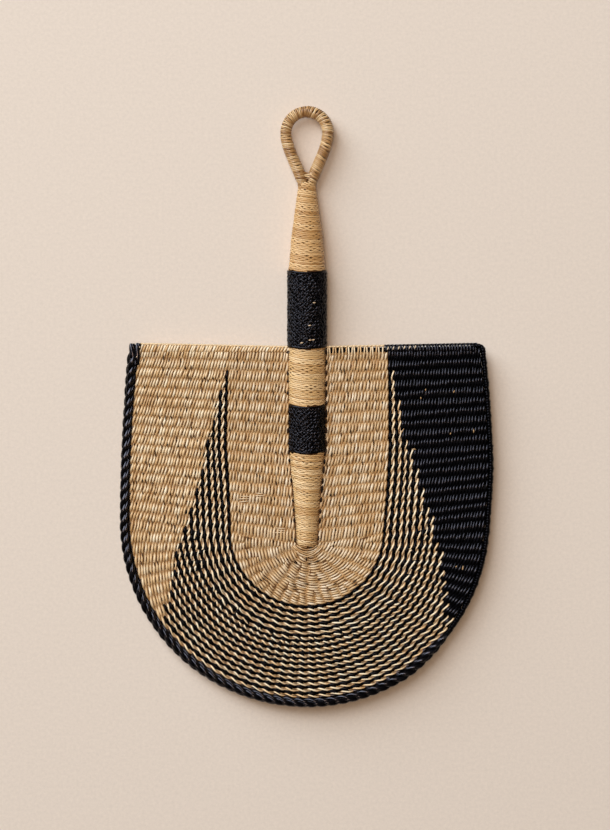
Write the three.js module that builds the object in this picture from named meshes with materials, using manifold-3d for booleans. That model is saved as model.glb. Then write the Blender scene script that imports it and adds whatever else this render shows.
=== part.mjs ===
// A woven straw hand fan: a round-ended blade of twined straw, a wrapped handle and a hanging loop.
// The fan lies on the flat back of its handle. X runs across the blade, Y along the handle towards the
// loop and Z up through the thickness. All sizes are in millimetres.
import * as THREE from "three";
import { mergeVertices } from "three/addons/utils/BufferGeometryUtils.js";
import Module from "manifold-3d";

// Blade. Plan heights are measured from the centre of its round end.
const bladeRadius = 135; // round end, to the outside of the border
const bladeRise = 127; // up to the top corners
const topNarrowing = 7; // each side of the top corners
const topHalfWidth = bladeRadius - topNarrowing;
const topDip = 2.6; // the top edge hangs lower beside the handle
const bladeLevel = 10; // middle of the weave above the surface that the fan lies on
const weaveThickness = 5.2; // over a stake
const weaveWaist = 3.4; // between two stakes

// Share of the weave, from the handle out, that is the plain natural field
const fieldShareLow = 0.347; // at the lowest point
const fieldShareSide = 0.386; // where the sides meet the round end
const fieldShareTop = 0.397; // at the top edge

// Border and top edge
const ropeWidth = 7.2;
const ropeThickness = 7.8;
const rollWidth = 3.6;
const rollThickness = 5.6;
const rollStep = 3.6; // the lower right edge, past the rope, runs this far inside the round end's circle
const lobePitch = 6.9;
const lobeDepth = 0.18; // share of the rope's half width lost between two lobes
const selvedgeWidth = 3;
const selvedgeThickness = 5.2;
const eyedSelvedgeEnd = 55; // the natural edge with open eyes ends this far from the middle
const eyeCount = 10;
const eyeWidth = 1.6;
const eyeHeight = 1.6;

// Stakes
const stakeHalf = 1.3; // half the width of a side stake
const sideStakeCount = 18;
const tipStakeCount = 6;
const forkShares = [0.06, 0.22, 0.55]; // where each tip stake forks, as shares of the way to the border
const forkSpread = 0.07; // share of the way that two prongs take to part
const prongHalves = [1.5, 1.4, 1.3, 1.15]; // half widths, from the root outwards
const rootHalf = 0.7;
const rootReach = 4.2; // the tip stakes start this far from the middle of the handle's end
const boreEnd = 1.02; // share of the way out to which the stakes' bores run, past the weave's edge

// Handle: outer surface of its natural windings, from the tip up
const tipHeight = -14.4; // middle of the rounded tip
const tipReach = 5.8; // rounding past the middle
const tipHalfWidth = 8.05;
const tipTop = 16.6;
const waistHeight = 12.5;
const waistHalfWidth = 9.6;
const waistTop = 17.8;
const gripStart = 49.7;
const gripStartHalfWidth = 12.9;
const gripHalfWidth = 13.5;
const gripTop = 20;
const lowerBlackEnd = 82.8;
const gripEnd = 179.3;
const neckLowHeight = 203.8;
const neckLowHalfWidth = 11.5;
const neckMidHeight = 224;
const neckMidHalfWidth = 8.65;
const neckTopHeight = 241;
const neckTopHalfWidth = 6.7;
const neckRise = 3.4; // how far the back of the neck lifts to the loop
const neckTopThickness = 9.2;
const backFlat = 0.7; // the round back is pressed flat by this much
const windingThickness = 1.2;
const blackWindingExtra = 0.9;
const lowerBlackExtra = 0.1;
const turnsReach = 6.4; // the strands round the tip lie this far past the windings

// Loop
const loopHalfWidth = 15.15; // to the middle of its cord
const loopShoulder = 279.05; // centre of its round top
const loopFootBend = 8.7; // how far each leg rises straight before it leans out
const loopShoulderBend = 12.9; // how far below the shoulder it starts to straighten
const cordRadius = 4.35;
const cordEndRadius = 3.3;
const cordTaper = 0.06; // share of the cord's length that thins towards each end
const cordTail = 12; // the cord's core runs this far down into the neck

const fit = 0.3; // clearance between pieces that touch
const roundSides = 16;
const ropeSides = 5;
const cordSides = 8;

const natural = "#d8b88a";
const naturalPale = "#e2c79c";
const windingStraw = "#cfa870";
const black = "#17161a";

const wasm = await Module();
wasm.setup();

const mix = THREE.MathUtils.lerp;
const fan = new THREE.Group();

// Geometry helpers

function closedGeometry(points, triangles) {
  const geometry = new THREE.BufferGeometry();
  geometry.setAttribute("position", new THREE.Float32BufferAttribute(points.flatMap((p) => p.toArray()), 3));
  geometry.setIndex(triangles);
  return geometry;
}

// A closed solid through rings of equally many corners, each ring convex.
function loft(rings) {
  const sides = rings[0].length;
  const last = (rings.length - 1) * sides;
  const triangles = [];
  for (let ring = 0; ring < rings.length - 1; ring++) {
    for (let side = 0; side < sides; side++) {
      const next = (side + 1) % sides;
      const a = ring * sides + side;
      const b = ring * sides + next;
      triangles.push(a, b, a + sides, b, b + sides, a + sides);
    }
  }
  for (let side = 1; side < sides - 1; side++) {
    triangles.push(0, side + 1, side);
    triangles.push(last, last + side, last + side + 1);
  }
  return closedGeometry(rings.flat(), triangles);
}

// The closed geometry as a solid, with its faces turned outwards.
function toSolid(geometry) {
  const bare = geometry.clone();
  bare.deleteAttribute("normal");
  bare.deleteAttribute("uv");
  const merged = mergeVertices(bare, 1e-4);
  const triVerts = new Uint32Array(merged.index.array);
  const mesh = { numProp: 3, vertProperties: merged.attributes.position.array, triVerts };
  const solid = new wasm.Manifold(new wasm.Mesh(mesh));
  if (solid.volume() > 0) {
    return solid;
  }
  for (let i = 0; i < triVerts.length; i += 3) {
    [triVerts[i + 1], triVerts[i + 2]] = [triVerts[i + 2], triVerts[i + 1]];
  }
  return new wasm.Manifold(new wasm.Mesh(mesh));
}

function addPiece(name, solid, color, roughness = 0.75) {
  const { vertProperties, triVerts, numProp } = solid.getMesh();
  const points = [];
  for (let i = 0; i < vertProperties.length; i += numProp) {
    points.push(new THREE.Vector3(vertProperties[i], vertProperties[i + 1], vertProperties[i + 2]));
  }
  const geometry = closedGeometry(points, [...triVerts]);
  geometry.computeVertexNormals();
  const mesh = new THREE.Mesh(geometry, new THREE.MeshStandardMaterial({ color, roughness, metalness: 0 }));
  mesh.name = name;
  fan.add(mesh);
}

// A ring round a plan path at a point, square to the path's direction.
function pathRing(centre, direction, level, halfWidth, halfThickness, sides) {
  const normal = new THREE.Vector2(-direction.y, direction.x).normalize();
  return Array.from({ length: sides }, (_, i) => {
    const angle = ((i + 0.5) / sides) * 2 * Math.PI;
    const out = Math.cos(angle) * halfWidth;
    return new THREE.Vector3(
      centre.x + normal.x * out,
      centre.y + normal.y * out,
      level + Math.sin(angle) * halfThickness,
    );
  });
}

// A flat bar in the blade's plane, from its outline in plan.
function bar(outline, halfThickness) {
  const geometry = new THREE.ExtrudeGeometry(new THREE.Shape(outline), {
    depth: 2 * halfThickness,
    bevelEnabled: false,
  });
  return toSolid(geometry.translate(0, 0, bladeLevel - halfThickness));
}

// A point beside a line in plan, to the left of its direction.
function beside(point, direction, offset) {
  const left = new THREE.Vector2(-direction.y, direction.x).setLength(offset);
  return point.clone().add(left);
}

const union = (solids) => solids.reduce((whole, part) => whole.add(part));
const cut = (solid, tools) => solid.subtract(union(tools));

// Handle sections

const handleKnots = [
  { height: tipHeight, half: tipHalfWidth, low: 0, high: tipTop },
  { height: waistHeight, half: waistHalfWidth, low: 0, high: waistTop },
  { height: gripStart, half: gripStartHalfWidth, low: 0, high: gripTop },
  { height: gripStart + fit, half: gripHalfWidth, low: 0, high: gripTop },
  { height: gripEnd, half: gripHalfWidth, low: 0, high: gripTop },
  { height: neckLowHeight, half: neckLowHalfWidth, low: neckRise * 0.3, high: gripTop * 0.87 },
  { height: neckMidHeight, half: neckMidHalfWidth, low: neckRise * 0.65, high: gripTop * 0.73 },
  { height: neckTopHeight, half: neckTopHalfWidth, low: neckRise, high: neckRise + neckTopThickness },
];

function handleAt(wanted) {
  const height = THREE.MathUtils.clamp(wanted, tipHeight, neckTopHeight);
  const above = Math.max(1, handleKnots.findIndex((knot) => knot.height >= height));
  const [from, to] = [handleKnots[above - 1], handleKnots[above]];
  const share = (height - from.height) / (to.height - from.height);
  return {
    half: mix(from.half, to.half, share),
    low: mix(from.low, to.low, share),
    high: mix(from.high, to.high, share),
  };
}

// One ring round the handle, grown outwards from the natural winding's surface.
function handleRing(height, grow, squeeze = 1) {
  const { half, low, high } = handleAt(height);
  const middle = (low + high) / 2;
  const halfHeight = (high - low) / 2;
  const flat = low - Math.min(grow, 0);
  return Array.from({ length: roundSides }, (_, i) => {
    const angle = ((i + 0.5) / roundSides) * 2 * Math.PI;
    const x = Math.cos(angle) * (half + grow) * squeeze;
    const rise = Math.sin(angle);
    const reach = rise > 0 ? halfHeight + grow : halfHeight + backFlat + Math.min(grow, 0);
    return new THREE.Vector3(x, height, Math.max(middle + rise * reach * squeeze, flat));
  });
}

// Heights at which a stretch of the handle needs a ring.
function ringHeights(from, to) {
  const inner = handleKnots.map((knot) => knot.height).filter((h) => h > from + 1 && h < to - 1);
  return [from, ...inner, to];
}

const tipRounding = [
  { drop: 1, squeeze: 0.5 },
  { drop: 0.72, squeeze: 0.8 },
  { drop: 0.35, squeeze: 0.96 },
];

// A closed stretch of the handle, grown by so much, with the tip rounded off below its middle.
function handleStretch(from, to, grow, rounded = false) {
  const reach = tipReach + Math.min(grow, 0);
  const tip = tipRounding.map(({ drop, squeeze }) => handleRing(tipHeight - reach * drop, grow, squeeze));
  const heights = ringHeights(rounded ? tipHeight : from, to);
  const rings = heights.map((height) => handleRing(height, grow));
  return toSolid(loft(rounded ? [...tip, ...rings] : rings));
}

const coreGrow = -(windingThickness + fit);
const boreGrow = -windingThickness;

// Blade plan. A station runs from -2 at the top left corner to -1 at the level of the round end's
// centre, 0 at its lowest point, 1 back at that level and 2 at the top right corner.

const ropeEnd = 0.58; // station where the border's rope gives way to the rolled edge
const ropeFade = 0.12;
const stepStart = 0.34; // stations between which the right edge runs in and comes back out
const stepFull = 0.62;
const stepFade = 0.88;
const stepEnd = 1.36;

function borderWidth(station) {
  return mix(ropeWidth, rollWidth, THREE.MathUtils.smoothstep(station, ropeEnd - ropeFade, ropeEnd));
}

// How far the edge runs inside the round end's circle where the rope gives way to the rolled edge.
function stepIn(station) {
  const begun = THREE.MathUtils.smoothstep(station, stepStart, stepFull);
  return rollStep * begun * (1 - THREE.MathUtils.smoothstep(station, stepFade, stepEnd));
}

function outline(station, inset, top = bladeRise) {
  const side = Math.sign(station);
  const up = Math.max(Math.abs(station) - 1, 0);
  const narrowed = inset + stepIn(station);
  if (up > 0) {
    const height = up * top;
    const bulge = (height / bladeRise) ** 2;
    return new THREE.Vector2(side * (mix(bladeRadius, topHalfWidth, bulge) - narrowed), height);
  }
  const angle = (station * Math.PI) / 2;
  const radius = bladeRadius - narrowed;
  return new THREE.Vector2(radius * Math.sin(angle), -radius * Math.cos(angle));
}

const weaveTopOuter = bladeRise - selvedgeWidth - fit;
const weaveTopInner = weaveTopOuter - topDip;

const weaveOuter = (station) => outline(station, borderWidth(station) + fit, weaveTopOuter);

// The weave's edge keeps clear of the widest part of the handle over the next half stake spacing.
function weaveSeat(height) {
  const lead = (weaveTopInner - tipHeight) / sideStakeCount / 2;
  return handleAt(height + lead).half + lowerBlackExtra + fit;
}

function weaveInner(station) {
  const side = Math.sign(station);
  const up = Math.max(Math.abs(station) - 1, 0);
  if (up > 0) {
    const height = mix(tipHeight, weaveTopInner, up);
    return new THREE.Vector2(side * weaveSeat(height), height);
  }
  const angle = (station * Math.PI) / 2;
  const across = weaveSeat(tipHeight) * Math.sin(angle);
  return new THREE.Vector2(across, tipHeight - (tipReach + turnsReach) * Math.cos(angle));
}

const weaveAt = (station, share) => weaveInner(station).lerp(weaveOuter(station), share);

// Stakes

// One stake from the left border through the handle to the right border.
function sideStake(index, grow, end) {
  const station = 2 - (index + 0.5) / sideStakeCount;
  const points = [weaveAt(-station, end), weaveAt(-station, 0), weaveAt(station, 0), weaveAt(station, end)];
  const half = stakeHalf + grow;
  const directions = points.map((_, i) => points[Math.min(i + 1, 3)].clone().sub(points[Math.max(i - 1, 0)]));
  const over = points.map((point, i) => beside(point, directions[i], half));
  const under = points.map((point, i) => beside(point, directions[i].negate(), half));
  return bar([...over, ...under.reverse()], half);
}

function prongStation(generation, index) {
  return -1 + (2 * index + 1) / (tipStakeCount * 2 ** generation);
}

// The outline of one prong and of those that it divides into, from its left side round to its right.
function prongOutline(generation, index, grow, tip) {
  const station = prongStation(generation, index);
  const forks = generation < forkShares.length;
  const start = weaveAt(station, generation > 0 ? forkShares[generation - 1] + forkSpread : 0);
  const end = weaveAt(station, forks ? forkShares[generation] : tip);
  const direction = weaveAt(station, 1).sub(weaveAt(station, 0));
  const half = prongHalves[generation] + grow;
  const left = [beside(start, direction, half), beside(end, direction, half)];
  const right = [beside(end, direction, -half), beside(start, direction, -half)];
  if (!forks) {
    return [...left, ...right];
  }
  const first = weaveAt(prongStation(generation + 1, 2 * index), forkShares[generation] + forkSpread);
  const ahead = direction.clone().normalize();
  const away = first.clone().sub(end);
  const parting = Math.abs(away.cross(ahead)) / away.length();
  const notch = end.clone().addScaledVector(ahead, (prongHalves[generation + 1] + grow) / parting);
  return [
    ...left,
    ...prongOutline(generation + 1, 2 * index + 1, grow, tip),
    notch,
    ...prongOutline(generation + 1, 2 * index, grow, tip),
    ...right,
  ];
}

// One stake from the handle's tip, forking towards the border.
function tipStake(index, grow, end) {
  const angle = (prongStation(0, index) * Math.PI) / 2;
  const direction = new THREE.Vector2(Math.sin(angle), -Math.cos(angle));
  const root = direction.clone().multiplyScalar(rootReach).add(new THREE.Vector2(0, tipHeight));
  const half = rootHalf + grow;
  const rootEdge = [beside(root, direction, -half), beside(root, direction, half)];
  return bar([...rootEdge, ...prongOutline(0, index, grow, end)], stakeHalf + grow);
}

const indices = (count) => Array.from({ length: count }, (_, i) => i);
const sideBores = indices(sideStakeCount).map((i) => sideStake(i, fit, boreEnd));
const tipBores = indices(tipStakeCount).map((i) => tipStake(i, fit, boreEnd));
const allBores = union([...sideBores, ...tipBores]);

// Weave fields

// Half thickness of the weave: full over a stake, thin between two.
function weaveHalf(station, share) {
  const reached = forkShares.filter((fork) => share > fork + forkSpread / 2).length;
  const round = Math.abs(station) < 1;
  const phase = round ? ((station + 1) / 2) * tipStakeCount * 2 ** reached : (Math.abs(station) - 1) * sideStakeCount;
  const crest = Math.abs(Math.sin(Math.PI * phase));
  return mix(weaveWaist, weaveThickness, crest) / 2;
}

// Share of the way out at which the natural field ends.
function fieldEdge(station) {
  const lean = Math.abs(station);
  const level = mix(fieldShareLow, fieldShareSide, THREE.MathUtils.smoothstep(lean, 0, 1));
  return level + (fieldShareTop - fieldShareSide) * Math.max(lean - 1, 0);
}

function fieldLevels(from, to, round) {
  const inner = round ? forkShares.map((fork) => fork + forkSpread) : [];
  return [from, ...inner.filter((share) => share > from && share < to), to];
}

// A slab of weave between two lines that each give the share of the way out at a station. Its surfaces
// are ridged over the stakes.
function weaveField(from, to) {
  const forks = forkShares.filter((fork) => fork < to(0)).length;
  const roundColumns = 2 * tipStakeCount * 2 ** forks;
  const sideColumns = 2 * sideStakeCount;
  const stations = [
    ...indices(sideColumns).map((i) => -2 + i / sideColumns),
    ...indices(roundColumns + 1).map((i) => -1 + (2 * i) / roundColumns),
    ...indices(sideColumns).map((i) => 1 + (i + 1) / sideColumns),
  ];
  const points = [];
  const addPoint = (station, share, side) => {
    const plan = weaveAt(station, share);
    points.push(new THREE.Vector3(plan.x, plan.y, bladeLevel + side * weaveHalf(station, share)));
    return points.length - 1;
  };
  const columns = stations.map((station) => {
    const levels = fieldLevels(from(station), to(station), Math.abs(station) <= 1);
    return {
      levels,
      over: levels.map((share) => addPoint(station, share, 1)),
      under: levels.map((share) => addPoint(station, share, -1)),
    };
  });
  const triangles = [];
  const face = (a, b, c, flip) => triangles.push(...(flip ? [a, c, b] : [a, b, c]));
  // Joins two neighbouring columns, which may hold different levels.
  const zip = (left, right, key, flip) => {
    let i = 0;
    let j = 0;
    while (i < left.levels.length - 1 || j < right.levels.length - 1) {
      const nextLeft = left.levels[i + 1] ?? Infinity;
      const nextRight = right.levels[j + 1] ?? Infinity;
      if (nextLeft <= nextRight) {
        face(left[key][i], left[key][i + 1], right[key][j], flip);
        i++;
      } else {
        face(left[key][i], right[key][j + 1], right[key][j], flip);
        j++;
      }
    }
  };
  const wall = (a, b, c, d) => triangles.push(a, b, c, a, c, d);
  for (let i = 0; i < columns.length - 1; i++) {
    const [left, right] = [columns[i], columns[i + 1]];
    zip(left, right, "over", false);
    zip(left, right, "under", true);
    wall(left.over[0], right.over[0], right.under[0], left.under[0]);
    wall(left.over.at(-1), left.under.at(-1), right.under.at(-1), right.over.at(-1));
  }
  const closeEnd = (column, flip) => {
    for (let i = 0; i < column.levels.length - 1; i++) {
      face(column.over[i], column.under[i], column.over[i + 1], flip);
      face(column.over[i + 1], column.under[i], column.under[i + 1], flip);
    }
  };
  closeEnd(columns[0], false);
  closeEnd(columns.at(-1), true);
  return cut(toSolid(closedGeometry(points, triangles)), [allBores]);
}

// Border

// A roped edge along the outline between two stations, with rounded lobes.
function ropedEdge(from, to, thickness) {
  const steps = 80;
  const stations = indices(steps + 1).map((i) => mix(from, to, i / steps));
  const centre = stations.map((station) => outline(station, borderWidth(station) / 2));
  const curve = new THREE.SplineCurve(centre);
  const rings = 2 * Math.round(curve.getLength() / lobePitch);
  return toSolid(
    loft(
      indices(rings + 1).map((i) => {
        const share = i / rings;
        const waist = i % 2 === 0 ? 1 - lobeDepth : 1;
        const at = curve.getUtoTmapping(share);
        const half = borderWidth(mix(from, to, at)) / 2;
        const narrow = half * waist;
        const direction = curve.getTangent(at);
        const outward = new THREE.Vector2(direction.y, -direction.x);
        const point = curve.getPoint(at).addScaledVector(outward, narrow - half);
        return pathRing(point, direction, bladeLevel, narrow, (thickness / 2) * waist, ropeSides);
      }),
    ),
  );
}

// Top edge

const topEdgeHeight = (x) => bladeRise - topDip * (1 - Math.abs(x) / topHalfWidth) - selvedgeWidth / 2;

function selvedge(fromX, toX) {
  const ends = [fromX, toX].map((x) => new THREE.Vector2(x, topEdgeHeight(x)));
  const direction = ends[1].clone().sub(ends[0]);
  return toSolid(
    loft(ends.map((end) => pathRing(end, direction, bladeLevel, selvedgeWidth / 2, selvedgeThickness / 2, 8))),
  );
}

function eye(index) {
  const handleEdge = gripHalfWidth + fit;
  const x = mix(handleEdge, eyedSelvedgeEnd, (index + 0.5) / eyeCount);
  const box = new THREE.BoxGeometry(eyeWidth, eyeHeight, 2 * selvedgeThickness);
  return toSolid(box.translate(x, topEdgeHeight(x), bladeLevel));
}

// Loop

const loopPath = new THREE.Path();
loopPath.moveTo(-neckTopHalfWidth / 2, neckTopHeight + fit);
loopPath.bezierCurveTo(
  -neckTopHalfWidth / 2,
  neckTopHeight + loopFootBend,
  -loopHalfWidth,
  loopShoulder - loopShoulderBend,
  -loopHalfWidth,
  loopShoulder,
);
loopPath.absarc(0, loopShoulder, loopHalfWidth, Math.PI, 0, true);
loopPath.bezierCurveTo(
  loopHalfWidth,
  loopShoulder - loopShoulderBend,
  neckTopHalfWidth / 2,
  neckTopHeight + loopFootBend,
  neckTopHalfWidth / 2,
  neckTopHeight + fit,
);
const loopLevel = neckRise + neckTopThickness / 2;

// The cord along the loop, grown by so much, with straight tails down into the neck.
function cord(grow, tail) {
  const steps = 20;
  const rings = indices(steps + 1).map((i) => {
    const share = i / steps;
    const thin = Math.min(share, 1 - share) / cordTaper;
    const radius = mix(cordEndRadius, cordRadius, THREE.MathUtils.smoothstep(thin, 0, 1)) + grow;
    return pathRing(loopPath.getPointAt(share), loopPath.getTangentAt(share), loopLevel, radius, radius, cordSides);
  });
  if (tail > 0) {
    const drop = new THREE.Vector3(0, -tail, 0);
    rings.unshift(rings[0].map((point) => point.clone().add(drop)));
    rings.push(rings.at(-1).map((point) => point.clone().add(drop)));
  }
  return toSolid(loft(rings));
}

// Assembly

const coreTop = neckTopHeight - cordTail - 2 * fit;
const topStake = weaveInner(2 - 0.5 / sideStakeCount).y + stakeHalf + fit;
const slotLength = topStake - tipHeight + 2 * tipReach;
const slot = new THREE.BoxGeometry(4 * gripHalfWidth, slotLength, 2 * (stakeHalf + fit));
slot.translate(0, topStake - slotLength / 2, bladeLevel);
const bundle = handleStretch(tipHeight, coreTop, coreGrow, true);
addPiece("handle_bundle", cut(bundle, [toSolid(slot)]), natural);

const handleEdge = gripHalfWidth + fit;
const bladeTop = topEdgeHeight(handleEdge + selvedgeWidth) + selvedgeWidth / 2 + fit / 2;
const boreSolid = handleStretch(tipHeight, neckTopHeight + fit, boreGrow, true);

// A winding round the bundle between two heights, pierced by the stakes.
function winding(name, from, to, extra, color, rounded = false) {
  const solid = handleStretch(from, to, extra, rounded);
  addPiece(name, cut(solid, [boreSolid, allBores]), color);
}

winding("tip_wrap_natural", tipHeight, gripStart - fit / 2, 0, windingStraw, true);
winding("lower_wrap_black", gripStart + fit, lowerBlackEnd - fit / 2, lowerBlackExtra, black);
winding("grip_wrap_natural", lowerBlackEnd + fit / 2, bladeTop - fit / 2, 0, windingStraw);
winding("grip_wrap_black", bladeTop + fit / 2, gripEnd - fit / 2, blackWindingExtra, black);
winding("neck_wrap", gripEnd + fit / 2, neckTopHeight, 0, windingStraw);

addPiece("loop_core", cord(-(windingThickness + fit), cordTail), natural);
addPiece("loop_wrap", cut(cord(0, 0), [cord(-windingThickness, cordTail)]), windingStraw);

indices(sideStakeCount).forEach((i) => {
  addPiece(`side_stake_${String(i + 1).padStart(2, "0")}`, sideStake(i, 0, 1), natural);
});
indices(tipStakeCount).forEach((i) => addPiece(`tip_stake_${i + 1}`, tipStake(i, 0, 1), natural));

const turnsShape = new THREE.Shape();
turnsShape.absellipse(0, tipHeight, tipHalfWidth, tipReach + turnsReach - fit, Math.PI, 2 * Math.PI);
const turnsThickness = weaveThickness / 2 - stakeHalf - fit;
const handleSeat = handleStretch(tipHeight, gripStart, fit, true);
const turns = new THREE.ExtrudeGeometry(turnsShape, { depth: turnsThickness, bevelEnabled: false });
turns.translate(0, 0, bladeLevel + stakeHalf + fit);
addPiece("tip_turns_front", cut(toSolid(turns), [handleSeat]), naturalPale);
turns.translate(0, 0, -2 * (stakeHalf + fit) - turnsThickness);
addPiece("tip_turns_back", cut(toSolid(turns), [handleSeat]), naturalPale);

const halfKerf = fit / 2 / bladeRadius; // half the clearance, as a share of the weave's width
const innerEdge = (station) => fieldEdge(station) - halfKerf;
const outerEdge = (station) => fieldEdge(station) + halfKerf;
addPiece("weft_inner_natural", weaveField(() => 0, innerEdge), naturalPale);
addPiece("weft_outer_striped", weaveField(outerEdge, () => 1), natural);

addPiece("border_rope_black", ropedEdge(-2, ropeEnd - halfKerf, ropeThickness), black);
addPiece("border_roll_black", ropedEdge(ropeEnd + halfKerf, 2, rollThickness), black);

const leftCorner = topHalfWidth - ropeWidth - fit;
const rightCorner = topHalfWidth - rollWidth - fit;
addPiece("selvedge_left_natural", selvedge(-leftCorner, -handleEdge), natural);
const eyes = indices(eyeCount).map(eye);
addPiece("selvedge_right_natural", cut(selvedge(handleEdge, eyedSelvedgeEnd - fit / 2), eyes), natural);
addPiece("selvedge_right_black", selvedge(eyedSelvedgeEnd + fit / 2, rightCorner), black);

// The origin lies under the middle of the fan.
const box = new THREE.Box3().setFromObject(fan);
const middle = box.getCenter(new THREE.Vector3());
fan.position.set(-middle.x, -middle.y, -box.min.z);

export default fan;
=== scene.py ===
"""A woven straw hand fan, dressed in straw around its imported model.

The blade is twined: pairs of weft straws wind round a fan of stakes, row after row, from the handle out to
the border. Every straw is a real tube of mesh, laid by one Geometry Nodes tree along rows that follow the
same plan as the solids. Lengths are in millimetres unless a line says otherwise.
"""

import logging
import math
from collections.abc import Callable
from dataclasses import dataclass, replace
from enum import Enum
from functools import partial
from itertools import groupby

import bpy
import numpy as np
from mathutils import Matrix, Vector


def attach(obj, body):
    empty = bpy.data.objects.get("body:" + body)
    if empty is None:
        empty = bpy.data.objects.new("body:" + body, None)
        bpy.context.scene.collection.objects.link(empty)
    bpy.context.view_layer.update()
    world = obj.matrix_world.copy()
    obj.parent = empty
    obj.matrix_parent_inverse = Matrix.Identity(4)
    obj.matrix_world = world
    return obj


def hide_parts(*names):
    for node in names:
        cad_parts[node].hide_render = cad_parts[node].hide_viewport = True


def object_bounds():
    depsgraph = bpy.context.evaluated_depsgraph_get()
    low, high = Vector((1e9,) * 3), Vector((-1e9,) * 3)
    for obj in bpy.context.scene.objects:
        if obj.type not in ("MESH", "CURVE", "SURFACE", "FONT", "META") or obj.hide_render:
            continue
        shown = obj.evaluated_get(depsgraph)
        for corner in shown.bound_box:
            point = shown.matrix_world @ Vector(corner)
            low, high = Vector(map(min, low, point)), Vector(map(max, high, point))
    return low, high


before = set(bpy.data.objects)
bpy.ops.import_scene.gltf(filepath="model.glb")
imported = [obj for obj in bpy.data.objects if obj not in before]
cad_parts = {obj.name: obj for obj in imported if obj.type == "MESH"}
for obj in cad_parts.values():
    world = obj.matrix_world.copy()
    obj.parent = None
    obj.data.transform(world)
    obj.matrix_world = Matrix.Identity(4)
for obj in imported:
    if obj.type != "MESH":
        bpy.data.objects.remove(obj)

log = logging.getLogger("fan")
MM = 0.001
RIGHT, AHEAD, UP = np.eye(3)
CAD_BOX = [list(corner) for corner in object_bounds()]

# One value for all points, or one for each.
Values = np.ndarray | float
# Points on a surface and their outward unit normals.
Placed = tuple[np.ndarray, np.ndarray]
# Gives those for places along a surface, angles round it and distances out from it.
Surface = Callable[[np.ndarray, np.ndarray, Values], Placed]


# Small helpers


def fill(node: bpy.types.Node, inputs: dict) -> None:
    """Links or sets a node's inputs.

    Args:
        node: the node.
        inputs: socket names or indices, each with a socket to link from or a value to set.
    """
    for key, value in inputs.items():
        if isinstance(value, bpy.types.NodeSocket):
            node.id_data.links.new(value, node.inputs[key])
        else:
            node.inputs[key].default_value = value


def add_node(
    tree: bpy.types.NodeTree,
    kind: str,
    *values: object,
    inputs: dict | None = None,
    out: int | str = 0,
    **settings: object,
) -> bpy.types.NodeSocket:
    """Adds a node with its settings and links.

    Args:
        tree: the node tree that gets the node.
        kind: the node's type name.
        values: sockets or values for its first inputs, in order.
        inputs: sockets or values for its other inputs, by name or index.
        out: the output that is handed back.
        settings: the node's properties.

    Returns:
        The output socket.
    """
    node = tree.nodes.new(kind)
    for name, value in settings.items():
        setattr(node, name, value)
    fill(node, dict(enumerate(values)) | (inputs or {}))
    return node.outputs[out]


def start_material(name: str) -> tuple[bpy.types.Material, Callable, bpy.types.Node]:
    """Starts a node material.

    Args:
        name: what the real material is.

    Returns:
        The material, add_node for its tree, and its shader.
    """
    made = bpy.data.materials.new(name)
    made.use_nodes = True
    return made, partial(add_node, made.node_tree), made.node_tree.nodes["Principled BSDF"]


def put_in_scene(name: str, data: bpy.types.ID) -> bpy.types.Object:
    """Makes an object of a mesh, a lamp or a camera, at the origin."""
    made = bpy.data.objects.new(name, data)
    bpy.context.scene.collection.objects.link(made)
    return made


def linear(hex_colour: str) -> tuple[float, ...]:
    """Turns an sRGB hex colour into a linear one with full alpha."""
    parts = [int(hex_colour[i : i + 2], 16) / 255 for i in (1, 3, 5)]
    return (*(c / 12.92 if c <= 0.04045 else ((c + 0.055) / 1.055) ** 2.4 for c in parts), 1.0)


def smoothstep(value: Values, low: float, high: float) -> np.ndarray:
    """Eases from 0 at low to 1 at high."""
    share = np.clip((value - low) / (high - low), 0, 1)
    return share * share * (3 - 2 * share)


def unit(vectors: np.ndarray) -> np.ndarray:
    """Scales each vector to length 1."""
    return vectors / np.maximum(np.linalg.norm(vectors, axis=-1, keepdims=True), 1e-12)


def tangents(points: np.ndarray) -> np.ndarray:
    """Unit directions along a polyline."""
    return unit(np.gradient(points, axis=0))


def scatter(numbers: Values) -> np.ndarray:
    """A value from 0 to 1 for each number, the same one each time."""
    return np.modf(np.abs(np.sin(np.asarray(numbers, float) * 12.9898 + 4.1) * 43758.5453))[0]


def smooth_noise(chance: np.random.Generator, places: np.ndarray, spacing: float) -> np.ndarray:
    """Makes uneven values that change smoothly.

    Args:
        chance: source of the values.
        places: where they are needed along a line.
        spacing: distance over which they change.

    Returns:
        A value from -1 to 1 for each place.
    """
    knots = np.arange(math.floor(places.min() / spacing) - 1, math.ceil(places.max() / spacing) + 2)
    values = chance.uniform(-1, 1, len(knots))
    share = places / spacing - knots[0]
    cell = np.clip(share.astype(int), 0, len(knots) - 2)
    ease = smoothstep(share - cell, 0, 1)
    return values[cell] * (1 - ease) + values[cell + 1] * ease


# The fan's plan


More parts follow.
